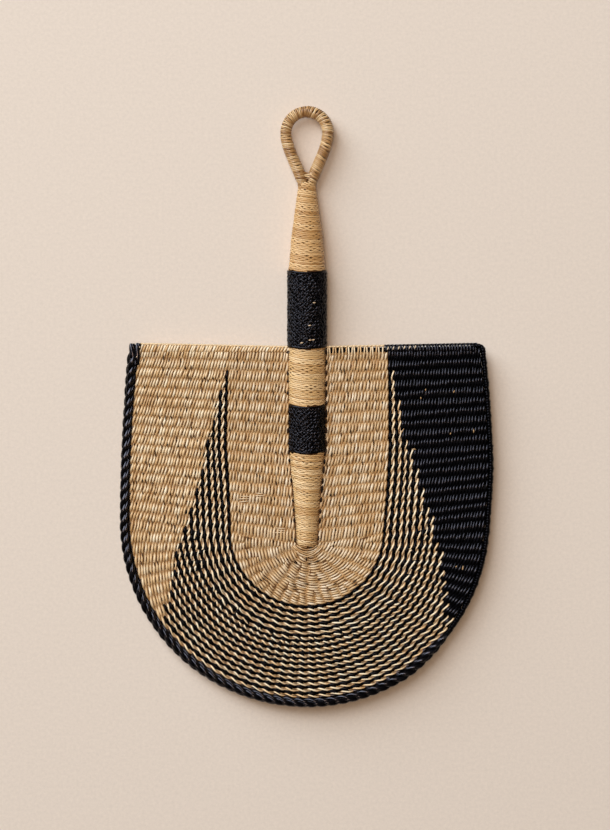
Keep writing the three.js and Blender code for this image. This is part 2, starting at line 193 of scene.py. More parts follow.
@dataclass(frozen=True)
class FanPlan:
    """The fan's main sizes, with heights from the centre of the blade's round end.

    A station runs along the blade: -2 at the top left corner, -1 where the left side meets the round end,
    0 at the lowest point, 1 and 2 the same on the right. A share runs from the handle (0) to the border (1).
    Each of the handle's knots is a cross section: its height, half width, lowest and highest level.
    """

    blade_radius: float = 135.0
    blade_rise: float = 127.0
    top_half_width: float = 128.0
    top_dip: float = 2.6
    level: float = 10.0
    selvedge_width: float = 3.0
    rope_width: float = 7.2
    roll_width: float = 3.6
    rope_end: float = 0.58
    rope_fade: float = 0.12
    roll_step: float = 3.6
    step_stations: tuple[float, ...] = (0.34, 0.62, 0.88, 1.36)
    fit: float = 0.3
    side_stakes: int = 18
    tip_stakes: int = 6
    tip_height: float = -14.4
    tip_reach: float = 5.8
    turns_reach: float = 6.4
    back_flat: float = 0.7
    lower_black_extra: float = 0.1
    knots: tuple[tuple[float, ...], ...] = (
        (-14.4, 8.05, 0.0, 16.6),
        (12.5, 9.6, 0.0, 17.8),
        (49.7, 12.9, 0.0, 20.0),
        (50.0, 13.5, 0.0, 20.0),
        (179.3, 13.5, 0.0, 20.0),
        (203.8, 11.5, 1.02, 17.4),
        (224.0, 8.65, 2.21, 14.6),
        (241.0, 6.7, 3.4, 12.6),
        (243.8, 6.9, 4.5, 11.6),
    )

    def handle_at(self, height: np.ndarray) -> tuple[np.ndarray, ...]:
        """Half width, lowest and highest level of the handle's winding at each height."""
        heights, *sizes = zip(*self.knots)
        return tuple(np.interp(height, heights, size) for size in sizes)

    def handle_surface(self, height: np.ndarray, angle: np.ndarray, grow: Values) -> Placed:
        """Finds places on the handle's winding.

        Args:
            height: places along the handle.
            angle: places round it, from the right side up over the front.
            grow: how far the points lie outside the natural winding's surface.

        Returns:
            Points and their outward unit normals.
        """
        half, low, high = self.handle_at(height)
        drop = np.clip((self.tip_height - height) / self.tip_reach, 0, 0.995)
        squeeze = (1 - drop**2.6) ** (1 / 2.6)
        rise = np.sin(angle)
        half_height = (high - low) / 2
        reach = half_height + np.where(rise > 0, grow, self.back_flat + np.minimum(grow, 0))
        x = np.cos(angle) * (half + grow) * squeeze
        z = (low + high) / 2 + np.maximum(rise * reach * squeeze, -half_height - np.minimum(grow, 0))
        normal = unit(np.stack([np.cos(angle) / half, np.zeros_like(x), rise / half_height], -1))
        return np.stack([x, height + np.zeros_like(x), z], -1), normal

    def border_width(self, station: np.ndarray) -> np.ndarray:
        """Width of the border, which thins from the rope to the rolled edge."""
        thin = smoothstep(station, self.rope_end - self.rope_fade, self.rope_end)
        return self.rope_width + (self.roll_width - self.rope_width) * thin

    def step_in(self, station: np.ndarray) -> np.ndarray:
        """How far the edge runs inside the round end's circle where the rope gives way to the rolled edge."""
        start, full, fade, end = self.step_stations
        return self.roll_step * smoothstep(station, start, full) * (1 - smoothstep(station, fade, end))

    def horseshoe(
        self, station: np.ndarray, half: Values, height: Values, base: float, radii: tuple[Values, Values]
    ) -> np.ndarray:
        """Finds points on a horseshoe with its opening at the top.

        Args:
            station: places along it.
            half: half width between its sides, at each place.
            height: heights of the places on its sides.
            base: height of the round end's centre.
            radii: the round end's reach sideways and downwards.

        Returns:
            The points in plan.
        """
        angle = np.clip(station, -1, 1) * math.pi / 2
        straight = np.stack([np.sign(station) * half, height], -1)
        rounded = np.stack([radii[0] * np.sin(angle), base - radii[1] * np.cos(angle)], -1)
        return np.where((np.abs(station) > 1)[..., None], straight, rounded)

    def outline(self, station: np.ndarray, inset: Values, top: float) -> np.ndarray:
        """Finds points on the blade's outline.

        Args:
            station: places along it.
            inset: how far inside it the points lie.
            top: height of its two ends.

        Returns:
            The points in plan.
        """
        inset = inset + self.step_in(station)
        height = np.maximum(np.abs(station) - 1, 0) * top
        bulge = (height / self.blade_rise) ** 2
        half = self.blade_radius + (self.top_half_width - self.blade_radius) * bulge - inset
        radius = self.blade_radius - inset
        return self.horseshoe(station, half, height, 0.0, (radius, radius))

    def weave_outer(self, station: np.ndarray) -> np.ndarray:
        """The weave's outer edge."""
        top = self.blade_rise - self.selvedge_width - self.fit
        return self.outline(station, self.border_width(station) + self.fit, top)

    def weave_inner(self, station: np.ndarray) -> np.ndarray:
        """Finds the weave's edge beside the handle.

        Args:
            station: places along the blade.

        Returns:
            The points in plan.
        """
        rise = self.blade_rise - self.selvedge_width - self.fit - self.top_dip - self.tip_height
        height = self.tip_height + rise * np.maximum(np.abs(station) - 1, 0)
        seat = self.handle_at(height + rise / self.side_stakes / 2)[0] + self.lower_black_extra + self.fit
        radii = (seat, self.tip_reach + self.turns_reach)
        return self.horseshoe(station, seat, height, self.tip_height, radii)

    def weave_at(self, station: Values, share: Values) -> np.ndarray:
        """Finds places in the weave.

        Args:
            station: places along the blade.
            share: shares of the way from the handle to the border.

        Returns:
            The points in plan.
        """
        station = np.asarray(station, float)
        share = np.broadcast_to(np.asarray(share, float), station.shape)[..., None]
        inner = self.weave_inner(station)
        return inner + (self.weave_outer(station) - inner) * share

    def outward(self, station: np.ndarray) -> np.ndarray:
        """Unit directions from the handle to the border."""
        across = unit(self.weave_outer(station) - self.weave_inner(station))
        return np.column_stack([across, np.zeros(len(station))])

    def top_edge(self, x: Values) -> Values:
        """Height of the middle of the top edge across the blade."""
        dip = self.top_dip * (1 - np.abs(x) / self.top_half_width)
        return self.blade_rise - dip - self.selvedge_width / 2


PLAN = FanPlan()
HUB = np.array([corner / MM + PLAN.blade_radius for corner in CAD_BOX[0][:2]] + [0.0])


def to_model(points: np.ndarray) -> np.ndarray:
    """Moves points from the fan's plan into the model's frame, in metres."""
    return (points + HUB) * MM


def in_blade(plan_points: np.ndarray, level: Values = PLAN.level) -> np.ndarray:
    """Gives plan points a level, that of the blade unless another is given."""
    return np.column_stack([plan_points, np.broadcast_to(level, len(plan_points))])


# Finishes


@dataclass(frozen=True)
class StrawFinish:
    """Dried grass straw, dyed or plain: fine lengthwise fibres with a waxy skin over a dull core.

    Each dash of straw has its own tone between three colours, and its flanks and the grooves between dashes
    are painted darker, as painted shade. Fibres are some 0.15 mm apart and are drawn at about 0.3 mm so that
    they show: that makes 22 round a straw, each some 6 mm long. Bundles of straw differ every 18 mm or so of
    the blade.
    """

    name: str
    pale: str
    mid: str
    deep: str
    # The painted shade: its colour, and how much of it the grooves get.
    groove: str
    groove_shade: float = 0.2
    flank_shade: float = 0.75
    roughness: float = 0.42
    sheen: float = 0.05
    sheen_roughness: float = 0.5
    specular: float = 0.5
    gloss: str = "#ffffff"
    mid_tone: float = 0.45
    bundles_per_metre: float = 55.0
    bundle_contrast: float = 0.3
    fibres_round: float = 22.0
    fibres_per_metre: float = 160.0
    fibre_contrast: float = 0.22
    fibre_height: float = 0.12
    bump: float = 0.25

    def material(self) -> bpy.types.Material:
        """Builds the node material.

        Returns:
            The new material.
        """
        made, add, shader = start_material(self.name)
        tone, lift, along, around, crown = (
            add("ShaderNodeAttribute", out="Fac", attribute_name=name)
            for name in ("tone", "lift", "along", "around", "crown")
        )
        place = add("ShaderNodeTexCoord", out="Object")
        noise = {"Vector": place, "Scale": self.bundles_per_metre, "Detail": 2.0, "Roughness": 0.6}
        bundles = add("ShaderNodeTexNoise", inputs=noise)
        contrast = self.bundle_contrast
        shifted = add("ShaderNodeMath", bundles, contrast, -contrast / 2, operation="MULTIPLY_ADD")
        mixed_tone = add("ShaderNodeMath", tone, shifted, operation="ADD")
        colour = add("ShaderNodeValToRGB", mixed_tone)
        ramp = colour.node.color_ramp.elements
        ramp[0].color = linear(self.deep)
        ramp[1].color = linear(self.pale)
        ramp.new(self.mid_tone).color = linear(self.mid)
        # Fibres run along the straw.
        girth = add("ShaderNodeMath", around, self.fibres_round, operation="MULTIPLY")
        length = add("ShaderNodeMath", along, self.fibres_per_metre, operation="MULTIPLY")
        spot = add("ShaderNodeCombineXYZ", girth, length, mixed_tone)
        noise = {"Vector": spot, "Scale": 1.0, "Detail": 2.0, "Roughness": 0.5}
        fibres = add("ShaderNodeTexNoise", inputs=noise)
        contrast = self.fibre_contrast
        streak = add("ShaderNodeMapRange", fibres, 0.3, 0.7, 1 - contrast, 1 + contrast)
        streaked = add("ShaderNodeVectorMath", colour, inputs={"Scale": streak}, operation="SCALE")
        # Painted shade: the flanks and the places where the straw dips under the next one are painted darker.
        flank, depth = (
            add("ShaderNodeMapRange", value, low, 0.85, shade, 0.0, interpolation_type="SMOOTHSTEP")
            for value, low, shade in ((crown, 0.1, self.flank_shade), (lift, 0.15, self.groove_shade))
        )
        painted_shade = add("ShaderNodeMath", flank, depth, operation="MAXIMUM")
        shades = {0: painted_shade, 6: streaked, 7: linear(self.groove)}
        relief = {"Strength": self.bump, "Distance": self.fibre_height * MM, "Height": fibres}
        fill(
            shader,
            {
                "Base Color": add("ShaderNodeMix", inputs=shades, out=2, data_type="RGBA"),
                "Normal": add("ShaderNodeBump", inputs=relief),
                "Roughness": self.roughness,
                "Specular IOR Level": self.specular,
                "Specular Tint": linear(self.gloss),
                "Sheen Weight": self.sheen,
                "Sheen Roughness": self.sheen_roughness,
            },
        )
        return made


# Sun-dried grass straw, pale cream to tan, dull with a soft sheen.
DRY_STRAW = StrawFinish("dry_grass_straw", "#f5e1c0", "#d4b07e", "#b88a52", "#7a4d22", groove_shade=0.1)
# The same in the outer field on the left, with more painted shade where the straws cross.
SHADED_STRAW = replace(
    DRY_STRAW, name="crossed_grass_straw", pale="#fbe7c2", mid="#dfba86", deep="#c2955c", groove_shade=0.34
)
# The same straw in the stripes, where each dash stands alone on black: painted lighter, a painted highlight
# for the light it catches there, with deep painted shade where it dips under the next straw.
STRIPE_STRAW = StrawFinish(
    "striped_grass_straw", "#fff1d0", "#ffe1b2", "#efc185", "#8a5428", groove_shade=0.42
)
# Straw dyed black: nearly no colour left, and a waxy skin that gives small grey glints.
BLACK_STRAW = StrawFinish(
    "black_dyed_straw",
    "#0d0d12",
    "#060608",
    "#030304",
    "#010101",
    groove_shade=0.3,
    roughness=0.24,
    sheen=0.0,
    specular=0.31,
    gloss="#f5edfa",
    fibre_contrast=0.3,
)
# The same in the stripes, where it lies deeper than the pale straw and catches less light: painted darker, as
# painted shade, and duller.
SUNK_BLACK = replace(
    BLACK_STRAW,
    name="sunk_black_straw",
    pale="#040405",
    mid="#020203",
    deep="#010101",
    roughness=0.26,
    specular=0.09,
)
# The border's rope, of broad straws with an unbroken skin.
GLOSSY_BLACK = replace(
    BLACK_STRAW, name="glossy_black_straw", roughness=0.2, specular=0.46, fibre_contrast=0.15, bump=0.1
)
# Fine black straw of the handle's sleeves, rubbed shiny.
RUBBED_BLACK = replace(
    BLACK_STRAW, name="rubbed_black_straw", pale="#07070a", mid="#030304", roughness=0.22, specular=0.23
)
# Split straw wound wet round the handle and the loop, which dries to a warm gold.
GOLD_STRAW = StrawFinish(
    "wound_gold_straw", "#edcb98", "#dcb47a", "#c39459", "#6e451a", groove_shade=0.0, roughness=0.4
)
# On the neck, where it is older.
NECK_STRAW = replace(GOLD_STRAW, name="neck_gold_straw", pale="#e4bd86", mid="#cfa268", deep="#b08047")
# The same straw on the loop, painted darker and browner, as painted shade on the thin round cord, with
# stronger painted shade on its flanks.
SHADED_LOOP_STRAW = StrawFinish(
    "shaded_loop_straw",
    "#e8c591",
    "#be9059",
    "#8f6336",
    "#38200e",
    groove_shade=0.0,
    roughness=0.34,
    flank_shade=0.85,
)
# Near-black brown straw laid deep in the work where only shade shows, as painted shade: between the loop's
# legs, in the weave's slits, beside the handle and round its tip.
GAP_SHADE_STRAW = replace(
    SHADED_LOOP_STRAW, name="gap_shade_straw", pale="#38261a", mid="#1c120a", deep="#0c0704", specular=0.1
)


@dataclass(frozen=True)
class StalkFinish:
    """Unsplit grass stalks inside the work: brown, and painted near black where black weft wraps them, as
    painted shade.

    Only the inner field and the left of the blade have pale weft, so the painted shade starts past the
    field's reach from the handle's axis and stays right of a slanting line. The grain is some 3 mm long.
    """

    name: str = "grass_stalk"
    pale: str = "#7d5733"
    deep: str = "#4c3019"
    black_field_shade: str = "#050404"
    field_reach: float = 58.5
    line_start: tuple[float, float] = (-57.0, 121.0)
    line_slope: float = 0.27
    grains_per_metre: float = 300.0
    roughness: float = 0.8
    specular: float = 0.15

    def material(self) -> bpy.types.Material:
        """Builds the node material.

        Returns:
            The new material.
        """
        made, add, shader = start_material(self.name)
        place = add("ShaderNodeTexCoord", out="Object")
        from_hub = add("ShaderNodeVectorMath", place, tuple(HUB * MM), operation="SUBTRACT")
        x, y = add("ShaderNodeSeparateXYZ", from_hub).node.outputs[:2]
        below = add("ShaderNodeMath", y, 0.0, operation="MINIMUM")
        inward = add("ShaderNodeCombineXYZ", x, below)
        reach = add("ShaderNodeVectorMath", inward, out="Value", operation="LENGTH")
        # Painted shade: the stalks turn near black outside the inner field and right of a slanting line.
        outside = add("ShaderNodeMath", reach, self.field_reach * MM, operation="GREATER_THAN")
        start = (self.line_start[0] - self.line_slope * self.line_start[1]) * MM
        line = add("ShaderNodeMath", y, self.line_slope, start, operation="MULTIPLY_ADD")
        right_of_line = add("ShaderNodeMath", x, line, operation="GREATER_THAN")
        black_field_mask = add("ShaderNodeMath", outside, right_of_line, operation="MULTIPLY")
        noise = {"Vector": place, "Scale": self.grains_per_metre, "Detail": 2.0}
        colour = linear(self.deep)
        for share, over in ((add("ShaderNodeTexNoise", inputs=noise), self.pale), (black_field_mask, self.black_field_shade)):
            mix = {0: share, 6: colour, 7: linear(over)}
            colour = add("ShaderNodeMix", inputs=mix, out=2, data_type="RGBA")
        fill(shader, {"Base Color": colour, "Roughness": self.roughness, "Specular IOR Level": self.specular})
        return made


STALK = StalkFinish()


# Straws


class Strands:
    """Polylines in the fan's plan that straws follow, with what the sweep reads at each point."""

    kinds = {
        "outward": "FLOAT_VECTOR",
        "face": "FLOAT_VECTOR",
        "turn": "FLOAT",
        "dash": "INT",
        "girth": "FLOAT",
        "tone": "FLOAT",
        "along": "FLOAT",
    }

    def __init__(self) -> None:
        """Starts with no lines."""
        self.points: list[np.ndarray] = []
        self.values: dict[str, list[np.ndarray]] = {name: [] for name in self.kinds}

    def add(
        self,
        points: np.ndarray,
        outward: np.ndarray,
        face: np.ndarray,
        dash: Values,
        girth: Values = 1.0,
        tone: Values | None = None,
        turn: Values = 0.0,
    ) -> None:
        """Adds one line. A single value holds for all its points.

        Args:
            points: the line's points.
            outward: direction along the work in which the straw swings.
            face: direction out of the work in which it swings.
            dash: number of the visible stretch of straw that each point is in.
            girth: thickness as a share of the straw's size.
            tone: place between the finish's colours. Without it each dash gets its own.
            turn: half turns round the line.
        """
        lengths = np.linalg.norm(np.diff(points, axis=0), axis=1) * MM
        along = np.concatenate([[0.0], np.cumsum(lengths)])
        tone = scatter(dash) if tone is None else tone
        self.points.append(np.asarray(points, float))
        for (name, kind), value in zip(self.kinds.items(), (outward, face, turn, dash, girth, tone, along)):
            shape = (len(points), 3) if kind == "FLOAT_VECTOR" else len(points)
            self.values[name].append(np.broadcast_to(value, shape))

    def mesh(self, name: str) -> bpy.types.Mesh:
        """Makes a mesh of edges, with the lines' values as attributes.

        Args:
            name: the mesh's name.

        Returns:
            The new mesh, in metres in the model's frame.
        """
        points = to_model(np.concatenate(self.points))
        ends = np.cumsum([len(line) for line in self.points])
        steps = np.setdiff1d(np.arange(len(points)), ends - 1)
        made = bpy.data.meshes.new(name)
        made.vertices.add(len(points))
        made.vertices.foreach_set("co", points.astype(np.float32).ravel())
        made.edges.add(len(steps))
        made.edges.foreach_set("vertices", np.column_stack([steps, steps + 1]).astype(np.int32).ravel())
        for key, kind in self.kinds.items():
            attribute = made.attributes.new(key, kind, "POINT")
            holder = "vector" if kind == "FLOAT_VECTOR" else "value"
            attribute.data.foreach_set(holder, np.concatenate(self.values[key]).ravel())
        made.update()
        return made


class StrawTree:
    """The Geometry Nodes tree that lays a straw along every line of a mesh."""

    def __init__(self) -> None:
        """Builds the tree once for all pieces."""
        self.tree = bpy.data.node_groups.new("laid_straw", "GeometryNodeTree")
        self.sockets: dict[str, str] = {}
        self._declare()
        self._wire()

    def _declare(self) -> None:
        """Names the tree's inputs."""
        sizes = ("Half Width", "Half Thickness", "Crest Height", "Drift", "Groove Width", "Unevenness")
        kinds = {"Geometry": "Geometry"} | dict.fromkeys(sizes, "Float")
        kinds |= {"Sides": "Int", "Seed": "Int", "Straw": "Material"}
        face = self.tree.interface
        for name, kind in kinds.items():
            socket = face.new_socket(name, in_out="INPUT", socket_type="NodeSocket" + kind)
            self.sockets[name] = socket.identifier
        face.new_socket("Geometry", in_out="OUTPUT", socket_type="NodeSocketGeometry")

    def _wire(self) -> None:
        """Swings the lines, sweeps a flat section along them and stores what the finish reads."""
        add = partial(add_node, self.tree)
        given = add("NodeGroupInput").node.outputs
        kinds = Strands.kinds | {"skyward": "FLOAT_VECTOR", "around": "FLOAT"}
        read = {
            name: add("GeometryNodeInputNamedAttribute", name, data_type=kinds[name])
            for name in ("outward", "face", "turn", "dash", "girth", "skyward", "around")
        }
        angle = add("ShaderNodeMath", read["turn"], math.pi, operation="MULTIPLY")
        swing, rise = (add("ShaderNodeMath", angle, operation=wave) for wave in ("SINE", "COSINE"))
        lift = add("ShaderNodeMath", rise, operation="ABSOLUTE")
        # Each dash strays from its line, most in its middle.
        uneven = add("ShaderNodeMath", given["Unevenness"], lift, operation="MULTIPLY")
        other_seed = add("FunctionNodeIntegerMath", given["Seed"], 17, operation="ADD")
        strays = []
        for most, seed in ((1.0, given["Seed"]), (0.5, other_seed)):
            draw = {2: -most, 3: most, "ID": read["dash"], "Seed": seed}
            drawn = add("FunctionNodeRandomValue", inputs=draw, out=1, data_type="FLOAT")
            strays.append(add("ShaderNodeMath", uneven, drawn, operation="MULTIPLY"))
        higher = add("ShaderNodeMath", strays[1], rise, operation="MULTIPLY")
        sideways = add("ShaderNodeMath", swing, given["Drift"], strays[0], operation="MULTIPLY_ADD")
        upwards = add("ShaderNodeMath", rise, given["Crest Height"], higher, operation="MULTIPLY_ADD")
        # The straws of a pair roll round one another, so the outer side of each always faces out.
        sums = []
        for shares in ((sideways, upwards), (swing, rise)):
            parts = [
                add("ShaderNodeVectorMath", read[name], inputs={"Scale": share}, operation="SCALE")
                for name, share in zip(("outward", "face"), shares)
            ]
            sums.append(add("ShaderNodeVectorMath", *parts, operation="ADD"))
        offset, skyward = sums
        flow = given["Geometry"]
        for name, kind, value in (("lift", "FLOAT", lift), ("skyward", "FLOAT_VECTOR", skyward)):
            stored = {"Name": name, "Value": value}
            flow = add("GeometryNodeStoreNamedAttribute", flow, inputs=stored, data_type=kind)
        flow = add("GeometryNodeSetPosition", flow, inputs={"Offset": offset})
        flow = add("GeometryNodeMeshToCurve", flow)
        flow = add("GeometryNodeSetCurveNormal", flow, inputs={"Normal": read["skyward"]}, mode="FREE")
        # The section is a flat ring, slimmer where the straw dips under the next one.
        groove = {"To Min": given["Groove Width"], "To Max": 1.0}
        squeeze = add("ShaderNodeMapRange", lift, inputs=groove)
        size = add("ShaderNodeMath", squeeze, read["girth"], operation="MULTIPLY")
        ring = {"Resolution": given["Sides"], "Radius": 1.0}
        section = add("GeometryNodeCurvePrimitiveCircle", inputs=ring)
        shape = add("ShaderNodeCombineXYZ", given["Half Thickness"], given["Half Width"], 1.0)
        section = add("GeometryNodeTransform", section, inputs={"Scale": shape})
        stored = {"Name": "around", "Value": add("GeometryNodeSplineParameter", out="Factor")}
        section = add("GeometryNodeStoreNamedAttribute", section, inputs=stored, data_type="FLOAT")
        sweep = {"Profile Curve": section, "Scale": size, "Fill Caps": True}
        flow = add("GeometryNodeCurveToMesh", flow, inputs=sweep)
        # The crown is 1 where the skin faces out of the work and 0 on a straw's flanks.
        facing = add("ShaderNodeMath", read["around"], 2 * math.pi, angle, operation="MULTIPLY_ADD")
        facing = add("ShaderNodeMath", facing, operation="COSINE")
        stored = {"Name": "crown", "Value": add("ShaderNodeMath", facing, operation="ABSOLUTE")}
        flow = add("GeometryNodeStoreNamedAttribute", flow, inputs=stored, data_type="FLOAT")
        flow = add("GeometryNodeSetShadeSmooth", flow)
        flow = add("GeometryNodeRealizeInstances", flow)
        flow = add("GeometryNodeSetMaterial", flow, inputs={"Material": given["Straw"]})
        fill(self.tree.nodes.new("NodeGroupOutput"), {0: flow})


@dataclass(frozen=True)
class StrawSize:
    """The section of a straw and how far it swings round its line."""

    half_width: float
    half_thickness: float
    crest: float = 0.0
    drift: float = 0.0
    groove_width: float = 1.0
    unevenness: float = 0.0
    sides: int = 6


class Workshop:
    """Lays straws and keeps the finishes, each built once."""

    def __init__(self) -> None:
        """Builds the tree that every piece shares."""
        self.straw_tree = StrawTree()
        self.materials: dict[str, bpy.types.Material] = {}

    def material(self, finish: StrawFinish | StalkFinish) -> bpy.types.Material:
        """The material of a finish."""
        if finish.name not in self.materials:
            self.materials[finish.name] = finish.material()
        return self.materials[finish.name]

    def lay(
        self,
        name: str,
        strands: Strands,
        size: StrawSize,
        finish: StrawFinish,
        slot: str,
        node: str,
        seed: int = 0,
    ) -> None:
        """Sweeps straws along lines, makes the result a plain mesh at the origin, hangs it on the root, hides
        the solid that it stands for and logs its triangles.

        Args:
            name: the piece's name.
            strands: the lines that the straws follow.
            size: the straws' section and swing.
            finish: what the straws are made of.
            slot: the slot that the piece belongs to.
            node: the solid that the piece stands for.
            seed: fixes the straws' unevenness.
        """
        piece = put_in_scene(name, strands.mesh(name))
        modifier = piece.modifiers.new("laid_straw", "NODES")
        modifier.node_group = self.straw_tree.tree
        for key, value in (
            ("Half Width", size.half_width * MM),
            ("Half Thickness", size.half_thickness * MM),
            ("Crest Height", size.crest * MM),
            ("Drift", size.drift * MM),
            ("Groove Width", size.groove_width),
            ("Unevenness", size.unevenness * MM),
            ("Sides", size.sides),
            ("Seed", seed),
            ("Straw", self.material(finish)),
        ):
            modifier[self.straw_tree.sockets[key]] = value
        swept = bpy.data.meshes.new_from_object(piece.evaluated_get(bpy.context.evaluated_depsgraph_get()))
        piece.modifiers.remove(modifier)
        lines, piece.data = piece.data, swept
        bpy.data.meshes.remove(lines)
        swept.name = name
        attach(piece, "root")
        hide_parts(node)
        log.info("%s: %d triangles", name, sum(len(face.vertices) - 2 for face in swept.polygons))


# The woven blade


class Zone(Enum):
    """Stretches of the weave that are laid as one piece each."""

    INNER_LEFT = "weave_inner_left"
    INNER_RIGHT = "weave_inner_right"
    LEFT = "weave_left_natural"
    STRIPE_NATURAL = "weave_stripes_natural"
    STRIPE_BLACK = "weave_stripes_black"
    RIGHT = "weave_right_black"


WEFT = StrawSize(1.06, 0.95, crest=1.2, drift=0.6, groove_width=0.93, unevenness=0.25)
LEFT_WEFT = replace(WEFT, half_width=1.1, drift=0.78, unevenness=0.3)
PALE_STRIPE_WEFT = replace(WEFT, half_width=0.75, drift=0.82, groove_width=0.7)
BLACK_STRIPE_WEFT = replace(WEFT, half_width=1.3, drift=0.62, groove_width=0.8)
RIGHT_WEFT = replace(WEFT, crest=1.55, drift=0.75)
# What each zone is laid with: its straws' size, finish and slot, and the solid that it stands for.
ZONE_STRAW = {
    Zone.INNER_LEFT: (WEFT, DRY_STRAW, "pale_straw", "weft_inner_natural"),
    Zone.INNER_RIGHT: (WEFT, DRY_STRAW, "pale_straw", "weft_inner_natural"),
    Zone.LEFT: (LEFT_WEFT, SHADED_STRAW, "striped_straw", "weft_outer_striped"),
    Zone.STRIPE_NATURAL: (PALE_STRIPE_WEFT, STRIPE_STRAW, "striped_straw", "weft_outer_striped"),
    Zone.STRIPE_BLACK: (BLACK_STRIPE_WEFT, SUNK_BLACK, "black_straw", "weft_outer_striped"),
    Zone.RIGHT: (RIGHT_WEFT, BLACK_STRAW, "black_straw", "weft_outer_striped"),
}


@dataclass
class WovenBlade:
    """The twined weave: rows of paired straws that turn round one another between the stakes.

    The outer field's stripes end on each side at stations that change with the share. The pale ends are
    in bunches, each with its x, height and length, and each fleck has its x, height, length and slope.
    """

    shop: Workshop
    inner_rows: int = 20
    outer_rows: int = 32
    steps: int = 8
    inner_end: tuple[float, ...] = (0.347, 0.039, 0.011)
    first_rows_closer: float = 0.25
    row_wander: float = 0.0016
    rib_sway: float = 0.1
    fork_shares: tuple[float, ...] = (0.06, 0.22, 0.55)
    fork_spread: float = 0.07
    fork_stagger: float = 0.035
    least_fork: float = 0.3
    pitch: float = 2.15
    least_girth: float = 0.7
    most_girth: float = 1.15
    slimmest: float = 0.4
    turn_noise: float = 0.07
    groove_tone: float = 0.28
    crest_highlight: float = 0.34
    dash_tone: float = 0.3
    stretch_tone: float = 0.26
    straw_tone: float = 0.25
    overrun: float = 0.012
    eyed_end: float = 1.988
    stripes_left: tuple[tuple[float, ...], ...] = (
        (0.385, 0.45, 0.557, 0.68, 0.765, 1.0),
        (-1.98, -1.76, -1.31, -0.98, -0.8, -0.59),
    )
    stripes_right: tuple[tuple[float, ...], ...] = (
        (0.385, 0.445, 0.48, 0.7, 0.83, 1.0),
        (2.0, 1.74, 1.5, 0.93, 0.705, 0.56),
    )
    inner_slits: float = 0.15
    outer_slits: float = 0.17
    slit_straw: StrawSize = StrawSize(0.42, 0.3)
    bunches: tuple[tuple[float, ...], ...] = ((-45.0, 15.1, 10.0), (-34.2, 17.4, 6.5), (-19.0, -7.5, 8.0))
    bunch_straw: StrawSize = StrawSize(0.5, 0.32)
    flecks: tuple[tuple[float, ...], ...] = (
        (105.7, 92.4, 2.0, 1.1), (85.3, 93.7, 1.6, 1.4), (81.9, 87.8, 1.6, 1.6), (119.9, 64.1, 2.6, 1.5),
        (77.3, 51.1, 2.2, -0.3), (68.6, 64.1, 4.0, 1.0), (103.2, 62.2, 1.4, 1.2), (112.0, -34.6, 3.6, 1.4),
        (98.6, -38.9, 3.4, 1.1), (107.3, -33.4, 1.4, 1.0),
    )
    fleck_straw: StrawSize = StrawSize(0.45, 0.3)
    seed: int = 11

    def inner_share(self, station: np.ndarray) -> np.ndarray:
        """Share of the way out at which the plain inner field ends: least at the bottom, most at the top."""
        lean, (least, side, top) = np.abs(station), self.inner_end
        return least + side * smoothstep(lean, 0, 1) + top * np.clip(lean - 1, 0, 1)

    def row_share(self, row: int, station: np.ndarray) -> np.ndarray:
        """Finds how far out a row runs.

        Args:
            row: number of the row, from the handle.
            station: places along it.

        Returns:
            Its share of the way from the handle to the border at each place.
        """
        edge = self.inner_share(station)
        if row < self.inner_rows:
            closer = self.first_rows_closer * (1 - row / self.inner_rows)
            made = edge * (row + 0.5 - closer) / self.inner_rows
        else:
            made = edge + (1 - edge) * (row - self.inner_rows + 0.5) / self.outer_rows
        wander = np.sin(station * 4.3 + row * 0.9) + 0.7 * np.sin(station * 9.1 - row * 0.47)
        return made + self.row_wander * wander

    def ribs(self, row: int) -> np.ndarray:
        """Finds where a row crosses the stakes.

        Args:
            row: number of the row.

        Returns:
            The stations of the crossings, in order from the left arm to the right one.
        """
        share = float(self.row_share(row, np.array(0.0)))
        number = np.arange(PLAN.side_stakes)
        side = (number + 0.5) / PLAN.side_stakes
        sway = self.rib_sway * np.sin(share * 7 + number * 2.4) / PLAN.side_stakes
        middle: list[float] = []
        for index in range(PLAN.tip_stakes):
            middle += self._prongs(share, 0, index, -1 + (2 * index + 1) / PLAN.tip_stakes)
        return np.concatenate([-2 + side + sway, middle, 1 + side + sway[::-1]])

    def _prongs(self, share: float, generation: int, index: int, place: float) -> list[float]:
        """Follows a stake of the round end, which divides into two prongs, and each of those again.

        Args:
            share: how far out the row runs.
            generation: how often the stake has divided so far.
            index: number of the prong in its generation.
            place: station of the prong.

        Returns:
            The stations at which the row crosses it, or the prongs that it has divided into.
        """
        if generation == len(self.fork_shares):
            return [place]
        late = self.fork_stagger * math.sin(index * 2.4 + generation * 1.3)
        apart = (share - self.fork_shares[generation] - late) / self.fork_spread
        if apart < self.least_fork:
            return [place]
        made: list[float] = []
        for child in (2 * index, 2 * index + 1):
            own = -1 + (2 * child + 1) / (2 * PLAN.tip_stakes * 2**generation)
            made += self._prongs(share, generation + 1, child, place + (own - place) * min(apart, 1.0))
        return made

    def zone(self, row: int, station: float) -> Zone:
        """Finds the piece that a dash belongs to.

        Args:
            row: number of its row.
            station: place of its stake.

        Returns:
            The zone.
        """
        if row < self.inner_rows:
            return Zone.INNER_LEFT if station < 0 else Zone.INNER_RIGHT
        share = float(self.row_share(row, np.array(station)))
        if station < np.interp(share, *self.stripes_left):
            return Zone.LEFT
        if station > np.interp(share, *self.stripes_right):
            return Zone.RIGHT
        return Zone.STRIPE_BLACK if (row - self.inner_rows) % 2 == 0 else Zone.STRIPE_NATURAL

